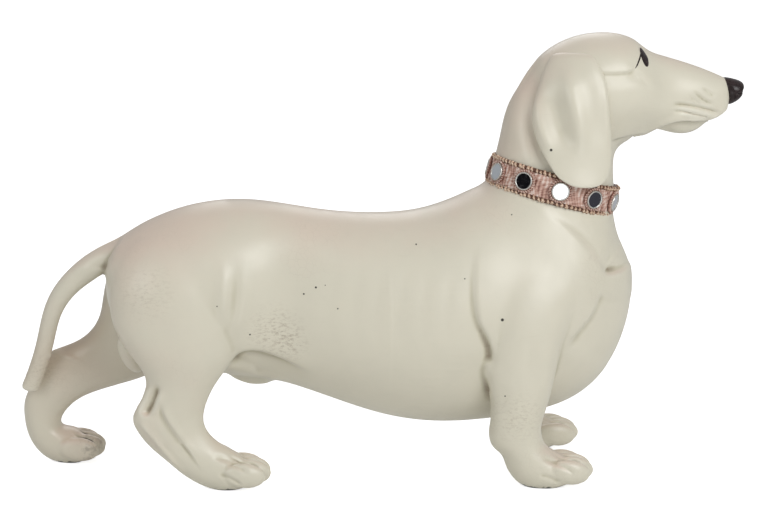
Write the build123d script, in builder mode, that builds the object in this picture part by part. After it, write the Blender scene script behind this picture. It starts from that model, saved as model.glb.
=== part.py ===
from build123d import *
import os
from math import cos, pi, radians, sin

# Free-standing slip-cast figurine of a dachshund, looking along +X and standing on four paws.
# Origin: on the ground, under the middle of the figure's box. +Y is the dog's left, +Z is up.
# All sizes are in millimetres.

# ---- Driving dimensions -------------------------------------------------------------------------
WALL = 4.5                     # drained slip wall of the hollow castings
VENT_DIAMETER = 6.0            # in the belly, lets air out of the closed figure in the kiln
VENT_X = -20.0
VENT_BOTTOM = 30.0
VENT_DEPTH = 22.0
LIMB_VENT_DIAMETER = 9.0       # joins a leg's hollow to the body's hollow
LIMB_VENT_INNER_Y = 22.0
LIMB_VENT_DEPTH = 20.0
LIMB_VENTS = ((78, 64, -1), (85, 64, 1), (-120, 90, -1), (-125, 88, 1))   # x, z, side
OVAL_POINTS = 12               # points that an oval cross-section is drawn through

MIRROR_DIAMETER = 10.0         # round craft mirror, which sets the figure's scale
MIRROR_THICKNESS = 1.2
MIRROR_COUNT = 11
BEZEL_WALL = 1.3               # wall of the cup round a mirror
BEZEL_FLOOR = 0.5              # floor of the cup, above the band's face
BEZEL_RIM = 0.4                # how far the cup stands above its mirror
BEZEL_SKIRT = 1.0              # reaches down to the band where it curves away
MIRROR_START = 5.7             # degrees round the neck from straight ahead
BAND_THICKNESS = 2.4
BAND_HEIGHT = 13.0
EDGING_HEIGHT = 2.6            # beaded cord along each edge of the band
EDGING_THICKNESS = 3.6
EDGING_ROUND = 1.1

# The neck is a straight oval column where the collar sits and where head and body meet.
COLLAR_CENTRE = (102.3, 174.0)
NECK_LEAN = 15.0               # degrees forward of upright
NECK_LENGTH_RADIUS = 36.5      # fore and aft
NECK_WIDTH_RADIUS = 32.0       # side to side
NECK_COLUMN = 9.5              # the column runs this far either side of the collar's middle

STEP_FORWARD = 7.0             # left front paw ahead of the right one

EAR_CLEARANCE = 0.3            # between an ear's tip and the collar under it
EYE_RADIUS = 4.4               # drop of black enamel
EYE_CENTRE = (152.0, 13.0, 248.5)


# ---- Cross-sections -----------------------------------------------------------------------------
def section_plane(first, second, y):
    """Plane of a cross-section whose long axis runs from second to first, both given as (x, z)."""
    along = (first[0] - second[0], 0, first[1] - second[1])
    middle = ((first[0] + second[0]) / 2, y, (first[1] + second[1]) / 2)
    return Plane(origin=middle, x_dir=along, z_dir=(-along[2], 0, along[0]))


def oval(length_radius, width_radius):
    """Closed smooth oval with its long axis along the section's x direction."""
    points = []
    for step in range(OVAL_POINTS):
        angle = 2 * pi * step / OVAL_POINTS
        points.append((length_radius * cos(angle), width_radius * sin(angle)))
    with BuildLine() as outline:
        Spline(*points, periodic=True)
    return outline.line


def form(stations, wall=0.0, shift=0.0, side=1):
    """Solid through oval stations: first point, second point, sideways centre and half width.

    A wall makes it that much smaller all round. The shift is forward, and side -1 mirrors it.
    Each station is lofted to the next one, and the lofts are joined.
    """
    with BuildPart() as body:
        for start in range(len(stations) - 1):
            for first, second, y, half_width in stations[start:start + 2]:
                first = (first[0] + shift, first[1])
                second = (second[0] + shift, second[1])
                length = (Vector(*first) - Vector(*second)).length
                with BuildSketch(section_plane(first, second, y * side)):
                    make_face(oval(length / 2 - wall, half_width - wall))
            loft(ruled=True)
    return body.part


def neck_station(distance):
    """The neck column's oval, this far along the neck's axis from the collar's middle."""
    lean = radians(NECK_LEAN)
    middle = (COLLAR_CENTRE[0] + distance * sin(lean), COLLAR_CENTRE[1] + distance * cos(lean))
    reach = (NECK_LENGTH_RADIUS * cos(lean), NECK_LENGTH_RADIUS * sin(lean))
    back = (middle[0] - reach[0], middle[1] + reach[1])
    front = (middle[0] + reach[0], middle[1] - reach[1])
    return (back, front, 0, NECK_WIDTH_RADIUS)


# ---- Stations -----------------------------------------------------------------------------------
# Body, from rump to neck: back point, belly point.
BODY = [
    ((-157, 141), (-158, 103), 0, 22),
    ((-147, 150), (-149, 88), 0, 33),
    ((-130, 159), (-132, 74), 0, 40),
    ((-110, 165), (-112, 64), 0, 43),
    ((-84, 167), (-86, 59), 0, 42),
    ((-58, 163), (-60, 56), 0, 41),
    ((-32, 158.5), (-34, 47), 0, 43.5),
    ((-6, 157), (-6, 36), 0, 47.5),
    ((20, 158.5), (22, 30.5), 0, 50.5),
    ((40, 164.5), (52, 30), 0, 51),
    ((50, 169), (86, 34.5), 0, 49),
    ((54, 170.8), (111, 40.5), 0, 47.5),
    ((57, 171.8), (130, 54), 0, 45.5),
    ((58.7, 172.4), (143, 74), 0, 43.5),
    ((60, 173), (150.5, 98), 0, 41),
    ((61.5, 173.5), (151, 121), 0, 38),
    ((63, 173.9), (145.5, 140), 0, 34.5),
]
RUMP_END = [((-160.5, 134), (-160.5, 120), 0, 9)]
RUMP_HOLLOW_END = [((-154, 136), (-155, 106), 0, 21)]

# Head, from nape to lips: crown point, throat point.
HEAD = [
    ((72.5, 210), (137.5, 184.5), 0, 30),
    ((77, 224), (138.5, 189), 0, 29.5),
    ((85, 242), (140, 193), 0, 30.5),
    ((97.5, 255.5), (144, 197), 0, 31.5),
    ((115, 264), (150, 201.5), 0, 31),
    ((133, 265), (157, 204), 0, 28),
    ((147, 262), (164, 204.5), 0, 23.5),
    ((157.5, 254), (171, 205), 0, 19),
    ((170, 249.5), (179, 204.5), 0, 16),
    ((184, 245.5), (188, 206), 0, 13.5),
    ((197, 240.5), (197, 210.5), 0, 11),
]
LIPS = [((206, 236), (205, 217), 0, 8)]

# Front leg, from shoulder to toes: front or upper point, rear or lower point.
FRONT_LEG = [
    ((115, 126), (57, 126), 33, 18),
    ((110, 108), (55, 103), 36, 18),
    ((103.5, 91), (56, 85), 38, 16.5),
    ((99.5, 75), (57.5, 72), 40, 14.5),
    ((96.5, 60), (59, 59), 42, 13),
    ((93.5, 46), (61, 46), 43, 12),
    ((92, 34), (61, 33), 43, 12),
]
FRONT_PAW = [
    ((92.5, 26.5), (62.5, 21), 43, 12.5),
    ((95, 23.5), (68.5, 9), 43, 13),
    ((100, 22), (79, -1), 42.5, 14.5),
    ((106.5, 20.5), (97, -3), 42, 16.5),
    ((113.5, 17), (111, -3), 42, 16),
    ((119, 12.5), (118.5, 0.5), 42, 11.5),
    ((121.5, 9), (121.3, 5), 42, 5),
]

# Right hind leg, stepping under the body.
HIND_LEG_FORWARD = [
    ((-83, 132), (-158, 130), 23, 21),
    ((-83, 110), (-159, 110), 25, 21.5),
    ((-86, 88), (-156, 92), 27, 20),
    ((-92.5, 74), (-149, 79), 29, 17),
    ((-100, 63), (-141, 69), 30, 14),
    ((-106, 53), (-142.5, 57.5), 31, 11.5),
]
HIND_FOOT_FORWARD = [
    ((-109, 44), (-149, 47.5), 31.5, 10),
    ((-108, 37), (-150.5, 39.5), 32, 9.5),
    ((-104, 31), (-143.5, 28), 32, 9.5),
    ((-98, 26), (-132, 17.5), 32, 10),
    ((-95, 25.2), (-124.5, 10.5), 32, 10.5),
    ((-91.5, 24), (-115, 3.5), 32, 11.5),
    ((-85, 22.5), (-99, -2), 32, 13.5),
    ((-77.5, 20), (-84, -3), 32, 14.5),
    ((-71.5, 14.5), (-74, 0), 32, 12),
    ((-69.5, 10.5), (-70, 6), 32, 5),
]

# Left hind leg, stretched out behind.
HIND_LEG_BACK = [
    ((-95, 128), (-160, 128), 23, 19),
    ((-100, 92), (-166, 110), 25, 20),
    ((-117, 67), (-170, 94), 26, 18),
    ((-139, 56), (-175.5, 84), 27, 14.5),
    ((-158, 50), (-184, 77), 28, 11.5),
    ((-172, 46), (-195, 73), 29, 10.5),
]
HIND_FOOT_BACK = [
    ((-184, 41.5), (-204, 70), 30, 10),
    ((-192, 35), (-211.5, 55), 31, 9.5),
    ((-196.5, 28.5), (-217, 41), 32, 9.5),
    ((-197, 24), (-219, 26), 33, 10),
    ((-194.5, 22), (-216, 12.5), 33.5, 11.5),
    ((-189, 22), (-206.5, 1), 34, 13),
    ((-182.5, 22), (-192, -3), 34, 14.5),
    ((-175.5, 19), (-179, -1), 34, 13.5),
    ((-170.5, 14), (-171.5, 6), 34, 6),
]

# Tail, from rump to tip: outer point, inner point. The tip bears on the left hind leg.
TAIL = [
    ((-146, 150), (-152, 126), 0, 13),
    ((-162, 142.5), (-164, 125), 1, 9),
    ((-177.5, 133), (-170.5, 120.5), 3, 7),
    ((-190, 121.5), (-181, 114), 5, 6),
    ((-198, 110), (-190, 104), 8, 5.3),
    ((-203, 98), (-195, 94), 11, 4.8),
    ((-205.5, 85), (-198, 83), 14, 4.4),
    ((-208, 73), (-201, 72), 16.5, 4.2),
    ((-211.5, 61), (-204.5, 59.5), 18.5, 4),
    ((-215, 53), (-209.5, 51), 20, 3),
]

# Ear, from its root to its tip: rear edge, front edge.
EAR = [
    ((99, 254), (119, 254), 27, 5),
    ((90.5, 241), (125.5, 241), 28, 8.5),
    ((86, 222), (129, 222), 30, 9.5),
    ((89.5, 204), (130, 204), 32, 9.5),
    ((95, 191), (129.5, 191), 34, 8.5),
    ((102.5, 182.5), (127, 183), 36, 6.5),
    ((109, 177.5), (121, 177.5), 38, 3.5),
]

# Nose: upper point, lower point.
NOSE = [
    ((204, 237.5), (203, 221), 0, 7.5),
    ((210, 236), (208.5, 221.5), 0, 8.2),
    ((215, 233.5), (213, 223), 0, 7.2),
    ((217.6, 230), (216.6, 225.5), 0, 3.5),
]

os.makedirs("parts", exist_ok=True)


def write(piece, name):
    """Label a finished piece and write it under its node's name."""
    piece.part.label = name
    export_step(piece.part, f"parts/{name}.step")


# ---- Body and head castings ---------------------------------------------------------------------
lower_neck = [neck_station(-NECK_COLUMN), neck_station(0)]
upper_neck = [neck_station(0), neck_station(NECK_COLUMN)]
body_outside = form(RUMP_END + BODY + lower_neck)
head_outside = form(upper_neck + HEAD + LIPS)

with BuildPart() as torso:
    add(body_outside)
    add(form(RUMP_HOLLOW_END + BODY[2:] + lower_neck, wall=WALL), mode=Mode.SUBTRACT)
    with BuildSketch(Plane.XY.offset(VENT_BOTTOM)):
        with Locations((VENT_X, 0)):
            Circle(VENT_DIAMETER / 2)
    extrude(amount=VENT_DEPTH, mode=Mode.SUBTRACT)
    for x, z, side in LIMB_VENTS:
        with BuildSketch(Plane.XZ.offset(-side * LIMB_VENT_INNER_Y)):
            with Locations((x, z)):
                Circle(LIMB_VENT_DIAMETER / 2)
        extrude(amount=-side * LIMB_VENT_DEPTH, mode=Mode.SUBTRACT)
write(torso, "torso_casting")

with BuildPart() as head:
    add(head_outside)
    add(form(upper_neck + HEAD, wall=WALL), mode=Mode.SUBTRACT)
write(head, "head_casting")


# ---- Legs and tail ------------------------------------------------------------------------------
def leg(upper, foot, side, shift=0.0):
    """Hollow leg, solid from the ankle down, cut to the body above and flat at the ground."""
    with BuildPart() as limb:
        add(form(upper + foot, shift=shift, side=side))
        add(form(upper, wall=WALL, shift=shift, side=side), mode=Mode.SUBTRACT)
        add(body_outside, mode=Mode.SUBTRACT)
        split(bisect_by=Plane.XY, keep=Keep.TOP)
    return limb


front_leg_right = leg(FRONT_LEG, FRONT_PAW, side=-1)
write(front_leg_right, "front_leg_right")
front_leg_left = leg(FRONT_LEG, FRONT_PAW, side=1, shift=STEP_FORWARD)
write(front_leg_left, "front_leg_left")
hind_leg_right = leg(HIND_LEG_FORWARD, HIND_FOOT_FORWARD, side=-1)
write(hind_leg_right, "hind_leg_right")
hind_leg_left = leg(HIND_LEG_BACK, HIND_FOOT_BACK, side=1)
write(hind_leg_left, "hind_leg_left")

with BuildPart() as tail:
    add(form(TAIL))
    add(body_outside, mode=Mode.SUBTRACT)
    add(hind_leg_left.part, mode=Mode.SUBTRACT)
write(tail, "tail")


# ---- Collar: band, beaded edgings, and mirrors in their bezels ----------------------------------
neck_plane = Plane(
    origin=(COLLAR_CENTRE[0], 0, COLLAR_CENTRE[1]),
    x_dir=(cos(radians(NECK_LEAN)), 0, -sin(radians(NECK_LEAN))),
    z_dir=(sin(radians(NECK_LEAN)), 0, cos(radians(NECK_LEAN))),
)


def neck_ring(thickness, bottom, height, rounding=0.0):
    """Oval ring round the neck, its bottom this far up the neck from the collar's middle."""
    with BuildPart() as ring:
        with BuildSketch(neck_plane.offset(bottom)):
            Ellipse(NECK_LENGTH_RADIUS + thickness, NECK_WIDTH_RADIUS + thickness)
        extrude(amount=height)
        if rounding:
            fillet(ring.edges().filter_by(GeomType.ELLIPSE), rounding)
        add(body_outside, mode=Mode.SUBTRACT)
        add(head_outside, mode=Mode.SUBTRACT)
    return ring.part


with BuildPart() as band:
    add(neck_ring(BAND_THICKNESS, -BAND_HEIGHT / 2, BAND_HEIGHT))
write(band, "collar_band")

for name, bottom in (("upper", BAND_HEIGHT / 2), ("lower", -BAND_HEIGHT / 2 - EDGING_HEIGHT)):
    with BuildPart() as edging:
        add(neck_ring(EDGING_THICKNESS, bottom, EDGING_HEIGHT, EDGING_ROUND))
    write(edging, f"collar_edging_{name}")

band_length = NECK_LENGTH_RADIUS + BAND_THICKNESS
band_width = NECK_WIDTH_RADIUS + BAND_THICKNESS
bezel_radius = MIRROR_DIAMETER / 2 + BEZEL_WALL
bezel_face = BEZEL_FLOOR + MIRROR_THICKNESS + BEZEL_RIM
for index in range(MIRROR_COUNT):
    angle = radians(MIRROR_START + 360 / MIRROR_COUNT * index)
    foot = neck_plane.from_local_coords((band_length * cos(angle), band_width * sin(angle), 0))
    outward = neck_plane.x_dir * (cos(angle) / band_length) + neck_plane.y_dir * (sin(angle) / band_width)
    seat = Plane(origin=foot, x_dir=neck_plane.z_dir, z_dir=outward)
    with BuildPart() as bezel:
        with BuildSketch(seat.offset(-BEZEL_SKIRT)):
            Circle(bezel_radius)
        extrude(amount=BEZEL_SKIRT + bezel_face)
        with BuildSketch(seat.offset(BEZEL_FLOOR)):
            Circle(MIRROR_DIAMETER / 2)
        extrude(amount=bezel_face, mode=Mode.SUBTRACT)
        add(band.part, mode=Mode.SUBTRACT)
    write(bezel, f"bezel_{index + 1:02d}")
    with BuildPart() as mirror_disc:
        with BuildSketch(seat.offset(BEZEL_FLOOR)):
            Circle(MIRROR_DIAMETER / 2)
        extrude(amount=MIRROR_THICKNESS)
    write(mirror_disc, f"mirror_{index + 1:02d}")


# ---- Ears, nose and eyes ------------------------------------------------------------------------
collar_depth = BAND_THICKNESS + bezel_face + EAR_CLEARANCE
collar_height = BAND_HEIGHT + 2 * EDGING_HEIGHT
collar_space = neck_ring(collar_depth, -collar_height / 2, collar_height)

for name, side in (("right", -1), ("left", 1)):
    with BuildPart() as ear:
        add(form(EAR, side=side))
        add(head_outside, mode=Mode.SUBTRACT)
        add(body_outside, mode=Mode.SUBTRACT)
        add(collar_space, mode=Mode.SUBTRACT)
    write(ear, f"ear_{name}")

    with BuildPart() as eye:
        with Locations((EYE_CENTRE[0], side * EYE_CENTRE[1], EYE_CENTRE[2])):
            Sphere(EYE_RADIUS)
        add(head_outside, mode=Mode.SUBTRACT)
    write(eye, f"eye_{name}")

with BuildPart() as nose:
    add(form(NOSE))
    add(head_outside, mode=Mode.SUBTRACT)
write(nose, "nose")
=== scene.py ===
import math
import random

import bmesh
import bpy
import numpy as np
from mathutils import Matrix, Vector
from mathutils.bvhtree import BVHTree
from mathutils.kdtree import KDTree


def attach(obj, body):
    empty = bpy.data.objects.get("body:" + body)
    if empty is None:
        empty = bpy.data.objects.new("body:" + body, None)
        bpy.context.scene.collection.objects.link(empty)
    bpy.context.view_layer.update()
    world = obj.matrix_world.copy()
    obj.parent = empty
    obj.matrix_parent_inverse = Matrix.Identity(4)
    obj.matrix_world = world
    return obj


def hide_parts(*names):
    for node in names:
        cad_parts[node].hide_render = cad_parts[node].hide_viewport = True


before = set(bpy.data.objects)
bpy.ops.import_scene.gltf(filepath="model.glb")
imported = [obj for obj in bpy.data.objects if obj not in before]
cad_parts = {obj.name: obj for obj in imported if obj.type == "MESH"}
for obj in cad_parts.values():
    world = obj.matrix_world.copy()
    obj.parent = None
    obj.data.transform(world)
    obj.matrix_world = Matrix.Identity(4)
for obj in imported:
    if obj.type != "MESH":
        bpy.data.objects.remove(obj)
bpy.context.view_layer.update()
MM = 0.001

# ---- Studio: pale floor, soft light, camera ------------------------------------------------------
# The figure stands on a plain pale floor that runs up all round into a white cove, under broad
# soft lamps. The camera stands a little behind square-on to the dog's right side, and looks down.

AIM = Vector((0.0, 0.0, 0.132))
CAMERA_DISTANCE = 1.125
CAMERA_AROUND = math.radians(-5.0)
CAMERA_ABOVE = math.radians(10.0)


def camera_place(around, above, distance):
    """Point at a distance from the aim, around from the dog's right side and above the level."""
    flat = math.cos(above) * distance
    return AIM + Vector((math.sin(around) * flat, -math.cos(around) * flat, math.sin(above) * distance))


camera_data = bpy.data.cameras.new("camera")
camera_data.lens = 88.1
camera_data.sensor_width = 36.0
camera = bpy.data.objects.new("camera", camera_data)
bpy.context.scene.collection.objects.link(camera)
camera.location = camera_place(CAMERA_AROUND, CAMERA_ABOVE, CAMERA_DISTANCE)
camera.rotation_euler = (AIM - camera.location).to_track_quat("-Z", "Y").to_euler()
bpy.context.scene.camera = camera


def add_lamp(name, place, size, power):
    """Square area lamp that points at the figure."""
    lamp_data = bpy.data.lights.new(name, "AREA")
    lamp_data.size = size
    lamp_data.energy = power
    lamp = bpy.data.objects.new(name, lamp_data)
    lamp.location = place
    lamp.rotation_euler = (AIM - Vector(place)).to_track_quat("-Z", "Y").to_euler()
    bpy.context.scene.collection.objects.link(lamp)


add_lamp("key_lamp", (0.68, -1.20, 0.92), 0.8, 10.4)
add_lamp("side_lamp", (-1.2, -1.0, 0.8), 0.6, 3.2)
add_lamp("back_lamp", (0.1, 1.3, 1.2), 1.0, 4.6)

world = bpy.data.worlds.new("studio")
world.use_nodes = True
world.node_tree.nodes["Background"].inputs["Color"].default_value = (1.0, 1.0, 1.0, 1.0)
world.node_tree.nodes["Background"].inputs["Strength"].default_value = 0.43
bpy.context.scene.world = world
bpy.context.scene.view_settings.view_transform = "Standard"


def finish_mesh(build, name, material):
    """Turn a bmesh into a smooth-shaded object of the scene."""
    mesh = bpy.data.meshes.new(name)
    build.to_mesh(mesh)
    build.free()
    piece = bpy.data.objects.new(name, mesh)
    bpy.context.scene.collection.objects.link(piece)
    if material:
        mesh.materials.append(material)
    mesh.shade_smooth()
    return piece


def plain_material(name, colour, roughness):
    """Material with a Principled shader, and that shader."""
    material = bpy.data.materials.new(name)
    material.use_nodes = True
    shader = material.node_tree.nodes["Principled BSDF"]
    shader.inputs["Base Color"].default_value = (*colour, 1.0)
    shader.inputs["Roughness"].default_value = roughness
    return material, shader


COVE_FLOOR = 3.2
COVE_BEND = 2.2
FLOOR_GLOW_SEEN = 0.75       # added where the camera sees the floor, so that it shows white
FLOOR_GLOW = 0.06
cove = bmesh.new()
floor_centre = cove.verts.new((0.0, 0.0, 0.0))
floor_edge = cove.verts.new((COVE_FLOOR, 0.0, 0.0))
cove.edges.new((floor_centre, floor_edge))
bmesh.ops.spin(cove, geom=[floor_edge], cent=(COVE_FLOOR, 0.0, COVE_BEND), axis=(0.0, -1.0, 0.0),
               dvec=(0.0, 0.0, 0.0), angle=math.radians(80.0), steps=10)
bmesh.ops.spin(cove, geom=cove.verts[:] + cove.edges[:], cent=(0.0, 0.0, 0.0), axis=(0.0, 0.0, 1.0),
               dvec=(0.0, 0.0, 0.0), angle=math.tau, steps=64, use_merge=True)
bmesh.ops.remove_doubles(cove, verts=cove.verts, dist=0.001)
bmesh.ops.recalc_face_normals(cove, faces=cove.faces)
floor_material, floor_shader = plain_material("studio_floor", (0.80, 0.80, 0.795), 0.7)
floor_shader.inputs["Emission Color"].default_value = (1.0, 1.0, 1.0, 1.0)
seen = floor_material.node_tree.nodes.new("ShaderNodeLightPath").outputs["Is Camera Ray"]
glow = floor_material.node_tree.nodes.new("ShaderNodeMath")
glow.operation = "MULTIPLY_ADD"
floor_material.node_tree.links.new(seen, glow.inputs[0])
glow.inputs[1].default_value = FLOOR_GLOW_SEEN
glow.inputs[2].default_value = FLOOR_GLOW
floor_material.node_tree.links.new(glow.outputs[0], floor_shader.inputs["Emission Strength"])
finish_mesh(cove, "studio_floor", floor_material)

# ---- Clay: how a casting's skin is formed --------------------------------------------------------
# The dog was modelled in clay, moulded, and slip-cast. Each casting starts as oval sections joined
# into a skin, which is then smoothed, swelled, folded and scored as clay is, before it is glazed.

RING_POINTS = 10
RING_FULLNESS = 1.065        # makes up for what subdivision takes off a ring
VENTRAL = Vector((0.0, 1.0, 0.0))


def oval_ring(cage, first, second, across, half_width):
    """Ring of points round the line between two ends in metres, this half width along across."""
    along = first - second
    across = (across - across.project(along)).normalized()
    normal = along.normalized().cross(across)
    turn = Matrix((along.normalized(), across, normal)).transposed().to_4x4()
    size = Matrix.Diagonal((along.length / 2, half_width, 1.0, 1.0))
    place = Matrix.Translation((first + second) / 2) @ turn @ size @ Matrix.Scale(RING_FULLNESS, 4)
    ring = set(bmesh.ops.create_circle(cage, segments=RING_POINTS, radius=1.0, matrix=place)["verts"])
    return [edge for edge in cage.edges if edge.verts[0] in ring and edge.verts[1] in ring]


def join_rings(cage, rings):
    """Closed skin through rings of edges, in order."""
    for ring, following in zip(rings, rings[1:]):
        bmesh.ops.bridge_loops(cage, edges=ring + following)
    for end in (rings[0], rings[-1]):
        bmesh.ops.contextual_create(cage, geom=end)


def skin_form(cage, stations, side=1, shift=0.0):
    """Closed form through upright sections: upper (x, z), lower (x, z), middle y, half width."""
    rings = []
    for upper, lower, y, half_width in stations:
        first = Vector((upper[0] + shift, y * side, upper[1])) * MM
        second = Vector((lower[0] + shift, y * side, lower[1])) * MM
        rings.append(oval_ring(cage, first, second, VENTRAL, half_width * MM))
    join_rings(cage, rings)


def add_lump(cage, centre, radii, lean=0.0):
    """Egg of clay pressed onto the form; it leans forward by degrees in the side view."""
    place = Matrix.Translation(Vector(centre) * MM) @ Matrix.Rotation(math.radians(lean), 4, "Y")
    place = place @ Matrix.Diagonal((*(Vector(radii) * MM), 1.0))
    bmesh.ops.create_uvsphere(cage, u_segments=12, v_segments=8, radius=1.05, matrix=place)


def voxel_skin(cage, name, voxel):
    """One closed skin over all the cage's forms, subdivided first and then remeshed evenly."""
    bmesh.ops.recalc_face_normals(cage, faces=cage.faces)
    draft = finish_mesh(cage, name, None)
    subdivision = draft.modifiers.new("subdivision", "SUBSURF")
    subdivision.levels = 3
    subdivision.render_levels = 3
    remesh = draft.modifiers.new("remesh", "REMESH")
    remesh.mode = "VOXEL"
    remesh.voxel_size = voxel
    mesh = bpy.data.meshes.new_from_object(draft.evaluated_get(bpy.context.evaluated_depsgraph_get()))
    bpy.data.objects.remove(draft)
    return mesh


def ease(value):
    """Smooth step from 0 to 1."""
    value = np.clip(value, 0.0, 1.0)
    return value * value * (3.0 - 2.0 * value)


def rounded(line):
    """The same line with its corners cut twice."""
    line = np.array(line, dtype=float)
    for _ in range(2):
        inner = np.stack((line[:-1] * 0.75 + line[1:] * 0.25, line[:-1] * 0.25 + line[1:] * 0.75), axis=1)
        line = np.concatenate((line[:1], inner.reshape(-1, line.shape[1]), line[-1:]))
    return line


class Clay:
    """A skin whose points are pushed about. Places and sizes are in millimetres.

    Lines of (x, z) are drawn on the dog's side as seen square-on, and lines of (x, y, z) in space.
    """

    def __init__(self, mesh):
        self.mesh = mesh
        self.points = np.empty(len(mesh.vertices) * 3)
        mesh.vertices.foreach_get("co", self.points)
        self.points = self.points.reshape(-1, 3) / MM
        pairs = np.empty(len(mesh.edges) * 2, dtype=np.int32)
        mesh.edges.foreach_get("vertices", pairs)
        self.first, self.second = pairs.reshape(-1, 2).T
        count = len(self.points)
        self.valence = np.bincount(self.first, minlength=count) + np.bincount(self.second, minlength=count)
        self.settle()

    def settle(self):
        """Write the points back to the mesh, and take its new normals."""
        self.mesh.vertices.foreach_set("co", (self.points * MM).ravel())
        self.mesh.update()
        self.normals = np.empty(self.points.size)
        self.mesh.vertex_normals.foreach_get("vector", self.normals)
        self.normals = self.normals.reshape(-1, 3)

    def averages(self, values):
        """Each point's mean of its neighbours' values."""
        count = len(self.points)
        total = np.bincount(self.first, values[self.second], count)
        total += np.bincount(self.second, values[self.first], count)
        return total / self.valence

    def smooth(self, times, centre=None, radii=None, keep=False, strength=0.5):
        """Smooth all over, or round a centre on both sides; keep holds the volume."""
        weight = np.full(len(self.points), strength)
        if centre:
            weight *= self.closeness(centre, radii, True)
        for turn in range(times * 2 if keep else times):
            push = -1.04 if keep and turn % 2 else 1.0
            drift = np.stack([self.averages(self.points[:, axis]) for axis in range(3)], axis=1) - self.points
            self.points += drift * (weight * push)[:, None]
        self.settle()

    def closeness(self, centre, radii, both):
        """1 at the centre, and falling off as a bell over the radii."""
        offset = (self.points - np.array(centre)) / np.array(radii)
        near = np.exp(-0.5 * (offset ** 2).sum(1))
        if both:
            offset = (self.points - np.array((centre[0], -centre[1], centre[2]))) / np.array(radii)
            near = np.maximum(near, np.exp(-0.5 * (offset ** 2).sum(1)))
        return near

    def swell(self, centre, radii, height, both=True):
        """Raise a soft mound, or press a hollow where the height is negative."""
        near = self.closeness(centre, radii, both)
        self.points += self.normals * (near * height)[:, None]

    def along(self, line, reach):
        """Points near a line: which, how far off, how far to its right, and how far along it."""
        line = rounded(line)
        place = self.points if line.shape[1] == 3 else self.points[:, [0, 2]]
        chosen = np.nonzero(((place > line.min(0) - reach) & (place < line.max(0) + reach)).all(1))[0]
        place = place[chosen]
        off = np.full(len(chosen), 1e9)
        right = np.zeros(len(chosen))
        part = np.zeros(len(chosen))
        lengths = np.linalg.norm(np.diff(line, axis=0), axis=1)
        walked = 0.0
        for start, stop, length in zip(line, line[1:], lengths):
            way = (stop - start) / length
            run = np.clip((place - start) @ way, 0.0, length)
            offset = place - start - run[:, None] * way
            gap = np.linalg.norm(offset, axis=1)
            closer = gap < off
            off[closer] = gap[closer]
            part[closer] = (walked + run[closer]) / lengths.sum()
            if line.shape[1] == 2:
                right[closer] = offset[closer] @ np.array((way[1], -way[0]))
            walked += length
        return chosen, off, right, part

    def sides(self, chosen, side, inner, facing):
        """How much of a side line's effect each point takes, from where it is and how it faces."""
        outward = np.clip(self.normals[chosen, 1] * side / facing, 0.0, 1.0)
        return outward * ease((self.points[chosen, 1] * side - inner) / 8.0)

    def score(self, line, width, depth, side=None, ends=(0.25, 0.25), inner=-8.0, facing=0.35):
        """Draw a groove of this half width, or a ridge where the depth is negative."""
        for each in ((1, -1) if side is None and len(line[0]) == 2 else (side,)):
            chosen, off, _, part = self.along(line, width * 3)
            push = depth * np.exp(-(off / width) ** 2)
            push *= ease(part / max(ends[0], 0.001)) * ease((1.0 - part) / max(ends[1], 0.001))
            if len(line[0]) == 2:
                push *= self.sides(chosen, each, inner, facing)
            self.points[chosen] -= self.normals[chosen] * push[:, None]

    def fold(self, line, width, depth, side=None, lip=0.0, crisp=1.6, ends=(0.25, 0.25), inner=-8.0,
             facing=0.35):
        """Step down to the right of a line, sharp at the line and running out over the width."""
        for each in ((1, -1) if side is None else (side,)):
            chosen, off, right, part = self.along(line, width * 3)
            push = depth * np.exp(-np.maximum(right, 0.0) / width) * ease(0.5 + right / crisp)
            push -= lip * np.exp(-((right + crisp) / (crisp * 2.0)) ** 2)
            push *= ease(part / max(ends[0], 0.001)) * ease((1.0 - part) / max(ends[1], 0.001))
            push *= np.exp(-np.maximum(off - np.abs(right), 0.0)) * self.sides(chosen, each, inner, facing)
            self.points[chosen] -= self.normals[chosen] * push[:, None]

    def store_hollows(self):
        """Keep how hollow or proud the skin is at each point, for the glaze to pool and wear by, and for
        painted shade in the hollows and painted highlight on the rises.
        """
        bulge = np.zeros(len(self.points))
        for axis in range(3):
            drift = self.averages(self.points[:, axis]) - self.points[:, axis]
            bulge += drift * self.normals[:, axis]
        gaps = ((self.points[self.first] - self.points[self.second]) ** 2).sum(1)
        count = len(self.points)
        bulge /= np.sqrt((np.bincount(self.first, gaps, count) + np.bincount(self.second, gaps, count))
                         / self.valence)
        for _ in range(6):
            bulge = bulge * 0.4 + self.averages(bulge) * 0.6
        self.hollows = bulge * 11.0
        layer = self.mesh.attributes.new("hollow", "FLOAT", "POINT")
        layer.data.foreach_set("value", self.hollows.astype(np.float32))


# ---- Body: torso, neck, legs and tail ------------------------------------------------------------
# The body is slip-cast in parts that are stuck together with slip while damp, so its skin runs on
# over the joins. It is modelled as one skin, and cut afterwards into the castings it is made of.

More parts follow.
